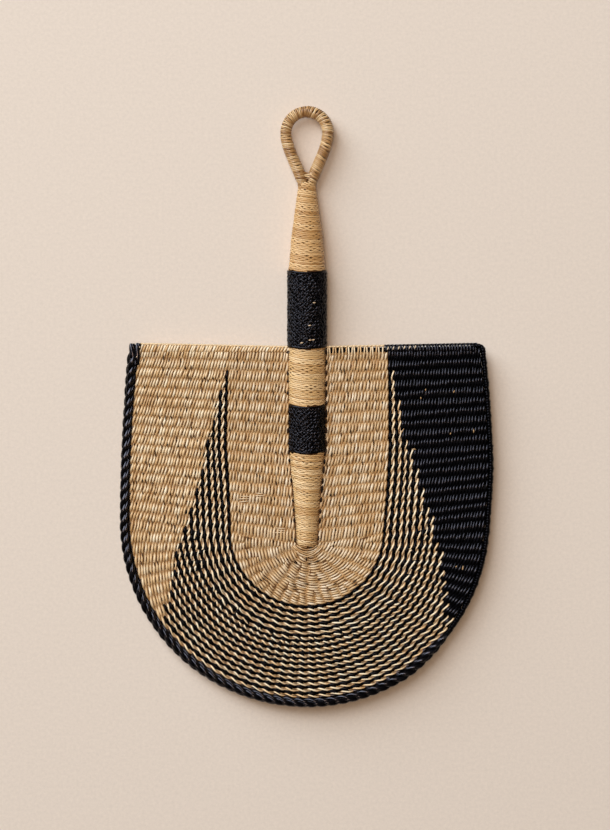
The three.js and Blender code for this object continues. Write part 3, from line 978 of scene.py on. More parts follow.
    def rows(self) -> dict[Zone, Strands]:
        """Lays out every straw of every row.

        Returns:
            The lines of each zone.
        """
        laid = {zone: Strands() for zone in Zone}
        chance = np.random.default_rng(self.seed)
        for row in range(self.inner_rows + self.outer_rows):
            crossings = self.ribs(row)
            count = len(crossings)
            marks = np.concatenate([[-0.5], np.arange(count), [count - 0.5]])
            last_place = self.eyed_end if row < self.inner_rows else 2 + self.overrun
            places = np.concatenate([[-2 - self.overrun], crossings, [last_place]])
            zones = [self.zone(row, station) for station in crossings]
            last_stripe = max((i for i, z in enumerate(zones) if z is Zone.STRIPE_NATURAL), default=-9)
            for strand in (0, 1):
                own = list(zones)
                # One straw of a pale pair runs on for one more stake, alone.
                if 0 < last_stripe < count - 1 and (last_stripe + 1 + strand) % 2 == 0:
                    own[last_stripe + 1] = Zone.STRIPE_NATURAL
                first = 0
                for zone, run in groupby(own):
                    stakes = len(list(run))
                    passed = np.arange(stakes * self.steps + 1) / self.steps + first - 0.5
                    station = np.interp(passed, marks, places)
                    self._dashes(laid[zone], row, strand, passed, station, chance)
                    first += stakes
        return laid

    def _dashes(
        self,
        strands: Strands,
        row: int,
        strand: int,
        passed: np.ndarray,
        station: np.ndarray,
        chance: np.random.Generator,
    ) -> None:
        """Lays out one straw over neighbouring stakes of a zone.

        Args:
            strands: gets the line.
            row: number of its row.
            strand: which of the pair the straw is.
            passed: stakes passed at each point, counted along the row.
            station: the points' stations.
            chance: source of the unevenness.
        """
        share = self.row_share(row, station)
        length = np.linalg.norm(PLAN.weave_outer(station) - PLAN.weave_inner(station), axis=-1)
        girth = length * np.abs(self.row_share(row + 1, station) - share) / self.pitch
        stake = np.floor(passed + 0.5)
        dash = stake.astype(int) + (row * 2 + strand) * 200
        crest = np.cos(math.pi * (passed - stake))
        slim = 1 - self.slimmest * scatter(dash + 0.3) ** 3 * crest
        # Each dash is painted lighter towards its crest, a painted highlight, with a random tone of its own
        # there.
        own_tone = self.crest_highlight + self.dash_tone * (scatter(dash) - 0.5)
        tone = self.groove_tone + own_tone * crest + self.stretch_tone * smooth_noise(chance, passed, 1.6)
        strands.add(
            in_blade(PLAN.weave_at(station, share)),
            PLAN.outward(station),
            UP,
            dash,
            np.clip(girth, self.least_girth, self.most_girth) * slim,
            tone + self.straw_tone * (scatter(row * 2 + strand + 0.7) - 0.5),
            passed + strand + self.turn_noise * smooth_noise(chance, passed, 1.7),
        )

    def build(self) -> None:
        """Lays the weave, with the painted shade in its slits and the pale ends in it."""
        for number, (zone, strands) in enumerate(self.rows().items()):
            self.shop.lay(zone.value, strands, *ZONE_STRAW[zone], self.seed + number)
        outer = range(self.inner_rows, self.inner_rows + self.outer_rows)
        self._slit_shade("weave_inner_slits", range(self.inner_rows), self.inner_slits, "weft_inner_natural")
        self._slit_shade("weave_left_slits", outer, self.outer_slits, "weft_outer_striped")
        self._loose_ends()
        self._flecks()

    def _slit_shade(self, name: str, rows: range, share_slit: float, node: str) -> None:
        """Lays near-black straw in slits between two rows of natural straw, near their crossings: painted
        shade.

        Args:
            name: the piece's name.
            rows: the rows with slits on their outer side.
            share_slit: the chance of a slit at each stake.
            node: the solid that the piece stands for.
        """
        strands = Strands()
        chance = np.random.default_rng(self.seed + len(name))
        along = np.linspace(-1, 1, 5)
        for row in rows:
            crossings = self.ribs(row)
            for i in range(1, len(crossings)):
                if chance.random() > share_slit:
                    continue
                if self.zone(row, crossings[i]) not in (Zone.INNER_LEFT, Zone.INNER_RIGHT, Zone.LEFT):
                    continue
                middle = i + chance.uniform(-0.75, -0.25)
                reach = chance.uniform(0.14, 0.32)
                station = np.interp(middle + reach * along, np.arange(len(crossings)), crossings)
                share = (self.row_share(row, station) + self.row_share(row + 1, station)) / 2
                level = PLAN.level + 1.45 + 0.35 * chance.random()
                points = in_blade(PLAN.weave_at(station, share), level)
                strands.add(points, PLAN.outward(station), UP, row * 80 + i, 1 - 0.75 * along**2)
        self.shop.lay(name, strands, self.slit_straw, GAP_SHADE_STRAW, "natural_straw", node)

    def _loose_ends(self) -> None:
        """Lays the pale straw ends that stick out of the inner field, in small bunches of three."""
        strands = Strands()
        chance = np.random.default_rng(self.seed)
        along = np.linspace(-0.5, 0.5, 7)
        for bunch, (x, height, length) in enumerate(self.bunches):
            for k in range(3):
                reach = length * chance.uniform(0.6, 1.0)
                middle = np.array([x + chance.uniform(-1, 1), height + 1.7 * (k - 1)])
                plan = middle + np.stack([reach * along, 0.25 * np.sin(3 * along + bunch + k)], -1)
                points = in_blade(plan, PLAN.level + 1.85 - 1.2 * along**2)
                strands.add(points, AHEAD, UP, bunch * 9 + k, 1 - np.abs(along), 0.72)
        self.shop.lay(
            "weave_loose_ends", strands, self.bunch_straw, DRY_STRAW, "pale_straw", "weft_inner_natural"
        )

    def _flecks(self) -> None:
        """Lays the short pale straw ends that show in the black field."""
        strands = Strands()
        along = np.linspace(-0.5, 0.5, 5)
        for number, (x, height, length, slope) in enumerate(self.flecks):
            ahead = np.array([math.cos(slope), math.sin(slope)])
            plan = np.array([x, height]) + length * along[:, None] * ahead
            points = in_blade(plan, PLAN.level + 2.3 - 1.2 * along**2)
            strands.add(points, np.cross(tangents(points), UP), UP, number, 1 - np.abs(along), 0.2)
        self.shop.lay(
            "weave_black_flecks", strands, self.fleck_straw, DRY_STRAW, "striped_straw", "weft_outer_striped"
        )


# Winding round a surface


class Course:
    """A line in plan, measured along its length."""

    def __init__(self, points: np.ndarray, level: float) -> None:
        """Measures the line.

        Args:
            points: the line's points in plan.
            level: its height above the table.
        """
        self.points = in_blade(points, level)
        steps = np.linalg.norm(np.diff(self.points, axis=0), axis=1)
        self.marks = np.concatenate([[0.0], np.cumsum(steps)])
        self.length = float(self.marks[-1])
        self.forward = tangents(self.points)

    def at(self, place: np.ndarray) -> Placed:
        """Points at places along the line, and the plan directions square to it, to its left."""
        point, forward = (
            np.stack([np.interp(place, self.marks, column) for column in values.T], -1)
            for values in (self.points, self.forward)
        )
        return point, np.cross(UP, unit(forward))

    def tube(
        self, across: Callable[[np.ndarray], np.ndarray], high: Callable[[np.ndarray], np.ndarray]
    ) -> Surface:
        """Makes the surface of a cord along the line.

        Args:
            across: half width at each place.
            high: half thickness at each place.

        Returns:
            The surface, wound from the line's left side up over the front.
        """

        def surface(place: np.ndarray, angle: np.ndarray, grow: Values) -> Placed:
            """The cord's surface."""
            point, left = self.at(place)
            wide, tall = across(place)[..., None], high(place)[..., None]
            turn, rise = np.cos(angle)[..., None], np.sin(angle)[..., None]
            normal = unit(left * turn / wide + UP * rise / tall)
            grown = np.broadcast_to(grow, place.shape)[..., None]
            return point + left * turn * wide + UP * rise * tall + normal * grown, normal

        return surface


@dataclass(frozen=True)
class Lay:
    """How straws are wound.

    The pitch is the spacing of neighbouring straws and starts the number wound side by side, which is even.
    Each straw sways along the surface so many times a turn, against its neighbours, which opens small slits:
    the sharper the sway, the shorter they are. They lie at slit_angle, wander to either side of it, and the
    more whim, the less alike they are.
    """

    pitch: float
    starts: int = 2
    waves: int = 0
    sway: float = 0.0
    whim: float = 0.45
    wander: float = 0.54
    sharpness: float = 1.0
    slit_angle: float = 0.0
    slack: float = 0.12
    sink: float = 0.6
    relief: float = 0.18
    samples: int = 28
    leftward: bool = False


def wind(
    strands: Strands, surface: Surface, start: float, end: float, lay: Lay, chance: np.random.Generator
) -> None:
    """Winds straws side by side round a surface.

    Args:
        strands: gets the lines.
        surface: what they are wound round.
        start: place where the winding starts.
        end: place where it ends.
        lay: spacing and unevenness.
        chance: source of the unevenness.
    """
    circle = 2 * math.pi
    lead = lay.pitch * lay.starts
    hand = -1.0 if lay.leftward else 1.0
    for k in range(lay.starts):
        turned = np.arange(0, (end - start) / lead * 2 * math.pi, circle / lay.samples)
        offset = circle * k / lay.starts
        loose = np.clip(1 + lay.whim * smooth_noise(chance, turned, 0.9), 0, 2)
        phase = lay.waves * (turned + offset - lay.slit_angle) + math.pi * k
        swing = np.cos(phase + lay.wander * smooth_noise(chance, turned, 1.3))
        sway = lay.sway * loose * np.sign(swing) * np.abs(swing) ** lay.sharpness
        slack = lay.slack * smooth_noise(chance, turned, 2.3)
        place = np.clip(start + lead * turned / circle + sway + slack, start, end)
        angle = hand * (turned + offset) - math.pi / 2
        grow = -lay.sink + lay.relief * smooth_noise(chance, turned, 1.9)
        point, normal = surface(place, angle, grow)
        along = unit(surface(place + 0.5, angle, grow)[0] - point)
        dash = np.floor((turned + offset) / circle).astype(int) * lay.starts + k
        strands.add(point, along, normal, dash)


@dataclass(frozen=True)
class Plait:
    """A sleeve of straws that run both ways round a surface, over one and under one.

    So many straws run each way, and each goes once round in the lead. They swing out and in by the rise
    about their sink below the surface, and their angles and levels are a little uneven.
    """

    count: int
    lead: float
    rise: float
    sink: float
    angle_noise: float = 0.1
    level_noise: float = 0.3

    def lay(
        self, strands: Strands, surface: Surface, start: float, end: float, chance: np.random.Generator
    ) -> None:
        """Plaits the sleeve.

        Args:
            strands: gets the lines.
            surface: what the sleeve covers.
            start: place where it starts.
            end: place where it ends.
            chance: source of the unevenness.
        """
        crossings = (end - start) / self.lead * 2 * self.count
        crossing = np.linspace(0, crossings, int(crossings * 3) + 1)
        place = start + (end - start) * crossing / crossings
        for hand in (1, -1):
            for k in range(self.count):
                angle = 2 * math.pi * (k / self.count + hand * (place - start) / self.lead) - math.pi / 2
                angle = angle + self.angle_noise * smooth_noise(chance, place, 4.0)
                swing = hand * self.rise * np.cos(math.pi * crossing)
                level = swing + self.level_noise * smooth_noise(chance, place, 2.4) - self.sink
                point, normal = surface(place, angle, level)
                dash = np.floor((crossing + 0.5 * (hand < 0)) / 2 + 0.25).astype(int)
                strands.add(point, tangents(point), normal, dash + k * 97 + (hand > 0) * 5003)


# The wound handle


@dataclass
class WoundHandle:
    """The handle's windings: golden straw wound flat, and two bands of black straw plaited over it.

    Each of the pale ends in the upper band has its height and x.
    """

    shop: Workshop
    grip_start: float = 49.7
    lower_black_end: float = 82.8
    blade_top: float = 124.95
    grip_end: float = 179.3
    neck_top: float = 243.7
    black_extra: float = 0.9
    natural: Lay = Lay(1.32, starts=4, waves=11, sway=0.32, whim=1.5, wander=1.8)
    natural_inset: float = 0.7
    straw: StrawSize = StrawSize(0.84, 0.5)
    layer_change: float = 0.22
    layer_spacing: float = 9.0
    under: Lay = Lay(1.3, sink=1.5)
    plait: Plait = Plait(30, 74.0, 0.2, 0.6)
    plait_inset: float = 0.9
    edge_turn: Lay = Lay(0.05, sink=0.35)
    edge_inset: float = 0.35
    black_straw: StrawSize = StrawSize(0.8, 0.34)
    pale_ends: tuple[tuple[float, float], ...] = (
        (127.2, -3.6), (129.2, 2.1), (129.4, 4.5), (139.7, 1.8), (156.0, 4.9),
    )
    pale_straw: StrawSize = StrawSize(0.55, 0.22)
    notch_straw: StrawSize = StrawSize(0.95, 0.5)
    sag: float = 1.7
    seed: int = 31

    def build(self) -> None:
        """Winds the handle from its tip to its neck."""
        tip = PLAN.tip_height - PLAN.tip_reach
        self._natural("tip_wrap", tip + 0.2, self.grip_start - 0.2, "tip_wrap_natural", 0)
        self._black("lower_wrap", self.grip_start, self.lower_black_end, PLAN.lower_black_extra)
        self._natural("grip_wrap", self.lower_black_end, self.blade_top, "grip_wrap_natural", 1)
        self._black("grip_black", self.blade_top, self.grip_end, self.black_extra)
        self._natural("neck_wrap_turns", self.grip_end, self.neck_top, "neck_wrap", 2)
        self._ends()
        self._notch_shadow()

    def _surface(self, place: np.ndarray, angle: np.ndarray, grow: Values) -> Placed:
        """The handle's surface in places that sag in front and behind, as the turns do."""
        clear = smoothstep(place, -10.0, 20.0) * (1 - smoothstep(place, 215.0, 235.0))
        return PLAN.handle_surface(place - self.sag * clear * np.sin(angle) ** 2, angle, grow)

    def _natural(self, name: str, start: float, end: float, node: str, number: int) -> None:
        """Winds golden straw over one stretch, on layers that come out unevenly thick.

        Args:
            name: the piece's name.
            start: height where the stretch starts.
            end: height where it ends.
            node: the solid that the piece stands for.
            number: tells the stretches' unevenness apart.
        """
        strands = Strands()
        chance = np.random.default_rng(self.seed + number)
        marks = np.arange(-120.0, 280.0, self.layer_spacing)
        layers = self.layer_change * smooth_noise(chance, marks, 1.0)

        def surface(place: np.ndarray, angle: np.ndarray, grow: Values) -> Placed:
            """The handle's surface over the last layer but one."""
            return self._surface(place, angle, grow + np.interp(place, marks, layers))

        wind(strands, surface, start + self.natural_inset, end - self.natural_inset, self.natural, chance)
        finish = NECK_STRAW if node == "neck_wrap" else GOLD_STRAW
        self.shop.lay(name, strands, self.straw, finish, "golden_straw", node)

    def _black(self, name: str, start: float, end: float, extra: float) -> None:
        """Plaits black straw over one stretch, with a plain turn at each end.

        Args:
            name: the piece's name.
            start: height where the stretch starts.
            end: height where it ends.
            extra: how far it stands out from the natural winding.
        """
        strands = Strands()
        chance = np.random.default_rng(self.seed + len(name))

        def surface(place: np.ndarray, angle: np.ndarray, grow: Values) -> Placed:
            """The sleeve's surface."""
            return self._surface(place, angle, grow + extra)

        low, high = start + self.plait_inset, end - self.plait_inset
        wind(strands, surface, low, high, self.under, chance)
        half = self.edge_turn.pitch
        for edge in (start + self.edge_inset, end - self.edge_inset):
            wind(strands, surface, edge - half, edge + half, self.edge_turn, chance)
        self.plait.lay(strands, surface, low, high, chance)
        node = "lower_wrap_black" if name == "lower_wrap" else "grip_wrap_black"
        self.shop.lay(name, strands, self.black_straw, RUBBED_BLACK, "black_straw", node)

    def _ends(self) -> None:
        """Lets a few pale straw ends show through the black sleeve."""
        strands = Strands()
        along = np.linspace(-0.5, 0.5, 4)
        for number, (height, x) in enumerate(self.pale_ends):
            places = height + 0.3 * along
            angle = np.arccos((x + 1.9 * along) / PLAN.handle_at(places)[0])
            points, normal = PLAN.handle_surface(places, angle, self.black_extra + 0.15 - 0.8 * np.abs(along))
            strands.add(points, AHEAD, normal, number, 1 - np.abs(along), 0.7)
        self.shop.lay(
            "grip_pale_ends", strands, self.pale_straw, DRY_STRAW, "golden_straw", "grip_wrap_black"
        )

    def _notch_shadow(self) -> None:
        """Lays near-black straw beside the handle between two ribs of the blade: a painted shadow, more often
        and longer on the right side.
        """
        strands = Strands()
        chance = np.random.default_rng(self.seed + 50)
        along = np.linspace(-1, 1, 5)
        for side in (-1, 1):
            for rib in range(PLAN.side_stakes):
                height = PLAN.blade_rise * (rib + chance.uniform(-0.15, 0.15)) / PLAN.side_stakes
                if chance.random() > 0.75 + 0.2 * side or height > self.blade_top - 3:
                    continue
                heights = height + chance.uniform(0.9, 1.8) * along * (1.4 + 0.4 * side)
                x = side * (PLAN.handle_at(heights)[0] + 0.4)
                points = in_blade(np.stack([x, heights], -1), PLAN.level + 2.2)
                strands.add(points, RIGHT, UP, rib, 1 - 0.7 * along**2)
        self.shop.lay(
            "handle_notch_shadow", strands, self.notch_straw, GAP_SHADE_STRAW, "natural_straw", "weft_inner_natural"
        )


@dataclass
class TipTurns:
    """Strands that pass round the handle's tip, in front and behind, and run out into the weave.

    Each gap between them has its x, height, reach to either side and slope.
    """

    shop: Workshop
    count: int = 4
    first_reach: float = 6.7
    spacing: float = 1.85
    first_half: float = 8.7
    splay: float = 1.7
    straw: StrawSize = StrawSize(0.62, 0.6, unevenness=0.25)
    lift: float = 1.75
    dive: float = 1.9
    gaps: tuple[tuple[float, ...], ...] = (
        (-14.0, -28.1, 1.1, -0.9),
        (-8.1, -29.8, 1.6, -0.7),
        (7.9, -29.5, 1.1, 0.5),
        (-0.4, -28.2, 1.2, 1.57),
        (-8.7, -14.6, 1.9, 1.75),
        (8.1, -13.2, 1.9, 1.4),
    )
    gap_straw: StrawSize = StrawSize(0.62, 0.35)
    seed: int = 51

    def build(self) -> None:
        """Lays the front and the back strands, and the painted shade in the gaps."""
        chance = np.random.default_rng(self.seed)
        for name, side in (("tip_turns_front", 1), ("tip_turns_back", -1)):
            strands = Strands()
            for k in range(self.count):
                ends = 1.3 - 0.03 * k + 0.16 * chance.uniform(-1, 1, 2)
                bend = np.linspace(-ends[0], ends[1], 49)
                half = self.first_half + self.splay * k
                reach = self.first_reach + self.spacing * k + 0.2 * smooth_noise(chance, bend, 0.5)
                # The inner turns are round, and the outer ones come to a point.
                pointed = 0.5 * max(k - 1, 0) / (self.count - 1)
                fall = (1 - pointed) * np.cos(bend) ** (1 + 0.2 * k) + pointed * (1 - np.abs(bend) / 1.45)
                plan = np.stack([half * np.sin(bend), PLAN.tip_height - reach * fall], -1)
                sunk = self.dive * smoothstep(np.abs(bend), 0.75, 1.3)
                points = in_blade(plan, PLAN.level + side * (self.lift + 0.3 * (k % 2) - sunk))
                tone = 0.3 + 0.12 * (k % 2) + 0.4 * smooth_noise(chance, bend, 0.3)
                strands.add(points, np.cross(tangents(points), UP), UP * side, k, 1.0, tone)
            self.shop.lay(name + "_straws", strands, self.straw, DRY_STRAW, "pale_straw", name, self.seed)
        self._gap_shade()

    def _gap_shade(self) -> None:
        """Lays near-black straw where the turns part from the first rows and from the handle's tip: painted
        shade.
        """
        strands = Strands()
        along = np.linspace(-1, 1, 5)
        for number, (x, height, reach, slope) in enumerate(self.gaps):
            ahead = reach * np.array([math.cos(slope), math.sin(slope)])
            points = in_blade(np.array([x, height]) + along[:, None] * ahead, PLAN.level + 2.35)
            strands.add(points, np.cross(tangents(points), UP), UP, number, 1 - 0.7 * along**2)
        self.shop.lay("tip_gap_shade", strands, self.gap_straw, GAP_SHADE_STRAW, "pale_straw", "tip_turns_front")


# The hanging loop


@dataclass
class HangingLoop:
    """The cord that closes into a loop above the handle, wound with golden straw."""

    shop: Workshop
    foot: float = 3.35
    foot_height: float = 241.3
    foot_drop: float = 0.3
    half_width: float = 15.15
    shoulder: float = 279.05
    foot_bend: float = 8.7
    shoulder_bend: float = 12.9
    leg_points: int = 60
    level: float = 8.0
    radius: float = 4.35
    end_radius: float = 3.3
    taper: float = 0.06
    lay: Lay = Lay(
        1.25,
        starts=4,
        waves=1,
        sway=0.25,
        whim=1.4,
        wander=0.35,
        sharpness=11.0,
        slit_angle=2.85,
        sink=0.4,
        relief=0.07,
        samples=48,
        leftward=True,
    )
    fine_lay: Lay = Lay(1.15, waves=3, sway=0.12, relief=0.05, leftward=True)
    straw: StrawSize = StrawSize(0.8, 0.4)
    fine_straw: StrawSize = StrawSize(0.68, 0.4)
    fine_from: float = 275.8
    bridges: tuple[float, ...] = (245.6, 247.2, 248.4, 249.6)
    bridge_reach: float = 6.0
    bridge_widening: float = 0.35
    bridge_slant: float = 0.9
    bridge_sag: float = 1.6
    bridge_straw: StrawSize = StrawSize(0.75, 0.4)
    tuck_reach: float = 4.2
    tuck_sink: float = 0.5
    tucks: int = 6
    first_tuck: float = 242.6
    tuck_spacing: float = 1.35
    tuck_straw: StrawSize = StrawSize(0.9, 0.6)
    seed: int = 71

    def build(self) -> None:
        """Winds each half of the loop from its foot to a seam on top, the left one finer near the top."""
        strands, fine = Strands(), Strands()
        chance = np.random.default_rng(self.seed)
        path = self._path()
        for half, seam in ((path, self.fine_from), (path[::-1], None)):
            course = Course(half, self.level)
            middle = course.length / 2
            leg = slice(0, self.leg_points)
            change = middle if seam is None else float(np.interp(seam, half[leg, 1], course.marks[leg]))
            radius = partial(self._radius, course.length)
            wind(strands, course.tube(radius, radius), 0.0, change, self.lay, chance)
            if seam is not None:
                wind(fine, course.tube(radius, radius), change, middle, self.fine_lay, chance)
        self._fray(fine, chance)
        self._finish("loop_turns", strands, self.straw)
        self._finish("loop_fine_turns", fine, self.fine_straw)
        self._foot()

    def _radius(self, length: float, place: np.ndarray) -> np.ndarray:
        """The cord's radius, which grows past its foot."""
        thin = smoothstep(place / length / self.taper, 0, 1)
        return self.end_radius + (self.radius - self.end_radius) * thin

    def _finish(self, name: str, strands: Strands, size: StrawSize, finish: StrawFinish = SHADED_LOOP_STRAW) -> None:
        """Lays one piece of the loop."""
        self.shop.lay(name, strands, size, finish, "golden_straw", "loop_wrap")

    def _foot(self) -> None:
        """Fills the narrow foot of the eye: straws drawn across both legs, over near-black straws laid under
        them as painted shade.
        """
        across = np.linspace(-1, 1, 15)
        bridge, tucked = Strands(), Strands()
        for number, height in enumerate(self.bridges):
            reach = self.bridge_reach + self.bridge_widening * (height - self.bridges[0])
            slant = (-1) ** number * self.bridge_slant
            plan = np.stack([reach * across, height + slant * across + self.bridge_sag * across**2], -1)
            level = self.level + 2.3 + 1.7 * np.sin(math.pi * across**2) - 1.4 * across**4
            bridge.add(in_blade(plan, level), AHEAD, UP, 50 + number)
        for k in range(self.tucks):
            height = self.first_tuck + self.tuck_spacing * k
            plan = np.stack([self.tuck_reach * across, height + 0 * across], -1)
            tucked.add(in_blade(plan, self.level - self.tuck_sink), AHEAD, UP, 80 + k)
        self._finish("loop_foot_turns", bridge, self.bridge_straw)
        self._finish("loop_foot_shade", tucked, self.tuck_straw, GAP_SHADE_STRAW)

    def _path(self) -> np.ndarray:
        """Draws the middle of the cord.

        Returns:
            Points in plan: up the left leg, over the top and down the right leg.
        """
        t = np.linspace(0, 1, self.leg_points)[:, None]
        a = np.array([-self.foot, self.foot_height])
        b = np.array([-self.foot, self.foot_height - self.foot_drop + self.foot_bend])
        c = np.array([-self.half_width, self.shoulder - self.shoulder_bend])
        d = np.array([-self.half_width, self.shoulder])
        leg = (1 - t) ** 3 * a + 3 * (1 - t) ** 2 * t * b + 3 * (1 - t) * t**2 * c + t**3 * d
        turn = np.linspace(math.pi, 0, 90)[1:-1]
        top = np.stack([np.cos(turn), np.sin(turn)], -1) * self.half_width + [0, self.shoulder]
        return np.concatenate([leg, top, leg[::-1] * [-1, 1]])

    def _fray(self, strands: Strands, chance: np.random.Generator) -> None:
        """Leaves a small tuft of straw ends inside the top, left of the seam.

        Args:
            strands: gets the lines.
            chance: source of the unevenness.
        """
        along = np.linspace(0, 1, 5)[:, None]
        for k in range(5):
            start = np.array([-6.4 + 0.5 * k, self.shoulder + 12.0, self.level + 1.2])
            drift = np.array([1.6 + 0.5 * chance.uniform(-1, 1), -1.1 + 0.4 * chance.uniform(-1, 1), 0.5])
            strands.add(start + along * drift, AHEAD, UP, 9000 + k, 0.45, 1.0)


# The border and the top edge


@dataclass
class RopedBorder:
    """The blade's rim: a thick black rope round the left and the bottom, a thin rolled edge up the right.

    The rope's top end is two lobes, each with the x and height of its foot and of its top.
    """

    shop: Workshop
    lay_length: float = 22.8
    strand_count: int = 3
    straws_per_strand: int = 3
    strand_offset: float = 1.9
    straw_offset: float = 0.85
    dash_length: float = 31.0
    samples: int = 26
    rope_straw: StrawSize = StrawSize(1.3, 1.05, sides=8)
    rope_start: float = 8.0
    start_swell: float = 0.14
    swell_fade: tuple[float, float] = (12.0, 45.0)
    counter_turn: float = 0.3
    looseness: float = 0.12
    looseness_length: float = 9.0
    outer_lean: float = 0.6
    filler_inset: float = 0.2
    filler_sink: float = 0.6
    filler_girth: float = 0.85
    lobes: tuple[tuple[float, ...], ...] = ((-125.2, 111.5, -125.7, 126.9), (-122.9, 112.0, -121.1, 127.2))
    lobe_spread: float = 1.2
    roll_lay: Lay = Lay(2.0, slack=0.3, sink=0.35, samples=16)
    roll_straw: StrawSize = StrawSize(1.1, 0.5)
    roll_half_thickness: float = 2.5
    roll_half_width: float = 1.8
    roll_pinch: float = 0.25
    roll_swell: float = 0.45
    roll_flatten: float = 0.4
    stake_spacing: float = 7.7
    corner_radius: float = 2.8
    seed: int = 91

    def build(self) -> None:
        """Makes the rope and the rolled edge."""
        strands = Strands()
        self._rope(strands)
        self._top_end(strands)
        self.shop.lay(
            "rope_straws", strands, self.rope_straw, GLOSSY_BLACK, "black_straw", "border_rope_black"
        )
        self._roll()

    def _course(self, first: float, last: float) -> Course:
        """The middle of the border between two stations."""
        station = np.linspace(first, last, 500)
        return Course(PLAN.outline(station, PLAN.border_width(station) / 2, PLAN.blade_rise), PLAN.level)

    def _rope(self, strands: Strands) -> None:
        """Lays three strands round one another, each made of straws laid the other way.

        Args:
            strands: gets the lines.
        """
        course = self._course(-2.0, PLAN.rope_end)
        place = np.arange(self.rope_start, course.length, self.lay_length / self.samples)
        centre, left = course.at(place)
        station = np.interp(place, [0, course.length], [-2, PLAN.rope_end])
        swollen = 1 + self.start_swell * (1 - smoothstep(place, *self.swell_fade))
        slim = PLAN.border_width(station) / PLAN.rope_width * swollen
        chance = np.random.default_rng(self.seed)

        def out_at(turn: np.ndarray) -> np.ndarray:
            """Directions out from the rope's middle."""
            return np.cos(turn)[:, None] * left + np.sin(turn)[:, None] * UP

        for k in range(self.strand_count):
            turn = 2 * math.pi * (place / self.lay_length + k / self.strand_count)
            lean = out_at(turn)
            middle = centre + lean * (self.strand_offset * slim)[:, None]
            for j in range(self.straws_per_strand):
                out = out_at(-self.counter_turn * turn + 2 * math.pi * j / self.straws_per_strand)
                loose = 1 + self.looseness * smooth_noise(chance, place, self.looseness_length)
                point = middle + out * (self.straw_offset * slim * loose)[:, None]
                face = unit(self.outer_lean * out + lean)
                dash = np.floor(place / self.dash_length + chance.random()).astype(int) + (k * 8 + j) * 100
                strands.add(point, np.cross(tangents(point), face), face, dash, slim)
        # Under its inner edge lies a filler cord that closes the gap to the weave.
        station = np.linspace(-2, PLAN.rope_end, 300)
        edge = PLAN.outline(station, PLAN.border_width(station) + self.filler_inset, PLAN.blade_rise)
        strands.add(in_blade(edge, PLAN.level - self.filler_sink), UP, UP, 9900, self.filler_girth)

    def _top_end(self, strands: Strands) -> None:
        """Ends the rope at the top left corner in two short lobes, side by side.

        Args:
            strands: gets the lines.
        """
        along = np.linspace(0, 1, 14)[:, None]
        spread = self.lobe_spread * np.sqrt(1 - 0.6 * along**8)
        girth = 1.5 - 0.4 * along[:, 0] ** 8
        for lobe, ends in enumerate(self.lobes):
            foot, top = np.reshape(ends, (2, 1, 2))
            centre = in_blade(foot * (1 - along) + top * along, PLAN.level + 0.5)
            for k in range(3):
                turn = 3.2 * along[:, 0] + 2 * math.pi * k / 3
                out = np.stack([np.cos(turn), 0 * turn, np.sin(turn)], -1)
                side = np.cross(tangents(centre), out)
                strands.add(centre + spread * out, side, out, 9000 + 9 * lobe + k, girth)

    def _roll(self) -> None:
        """Winds black straw over the right edge and round its top corner, pinched between the stakes."""
        edge = self._course(PLAN.rope_end - 0.02, 2.0).points[:, :2]
        edge = edge[edge[:, 1] < PLAN.blade_rise - self.roll_half_width - self.corner_radius]
        bend = np.linspace(0, math.pi / 2, 10)
        corner = np.stack([np.cos(bend) - 1, np.sin(bend)], -1) * self.corner_radius + edge[-1]
        course = Course(np.concatenate([edge, corner[1:], corner[-1:] + [[-5.0, -0.1]]]), PLAN.level)

        def pinched(least: float, swell: float, place: np.ndarray) -> np.ndarray:
            """A half size that shrinks at each pinch."""
            return least + swell * np.abs(np.sin(math.pi * place / self.stake_spacing))

        wide = partial(pinched, self.roll_half_width - self.roll_pinch, self.roll_swell)
        high = partial(pinched, self.roll_half_thickness - self.roll_flatten, self.roll_flatten)
        strands = Strands()
        chance = np.random.default_rng(self.seed + 1)
        wind(strands, course.tube(wide, high), 0.0, course.length, self.roll_lay, chance)
        self.shop.lay(
            "roll_straws", strands, self.roll_straw, SUNK_BLACK, "black_straw", "border_roll_black"
        )


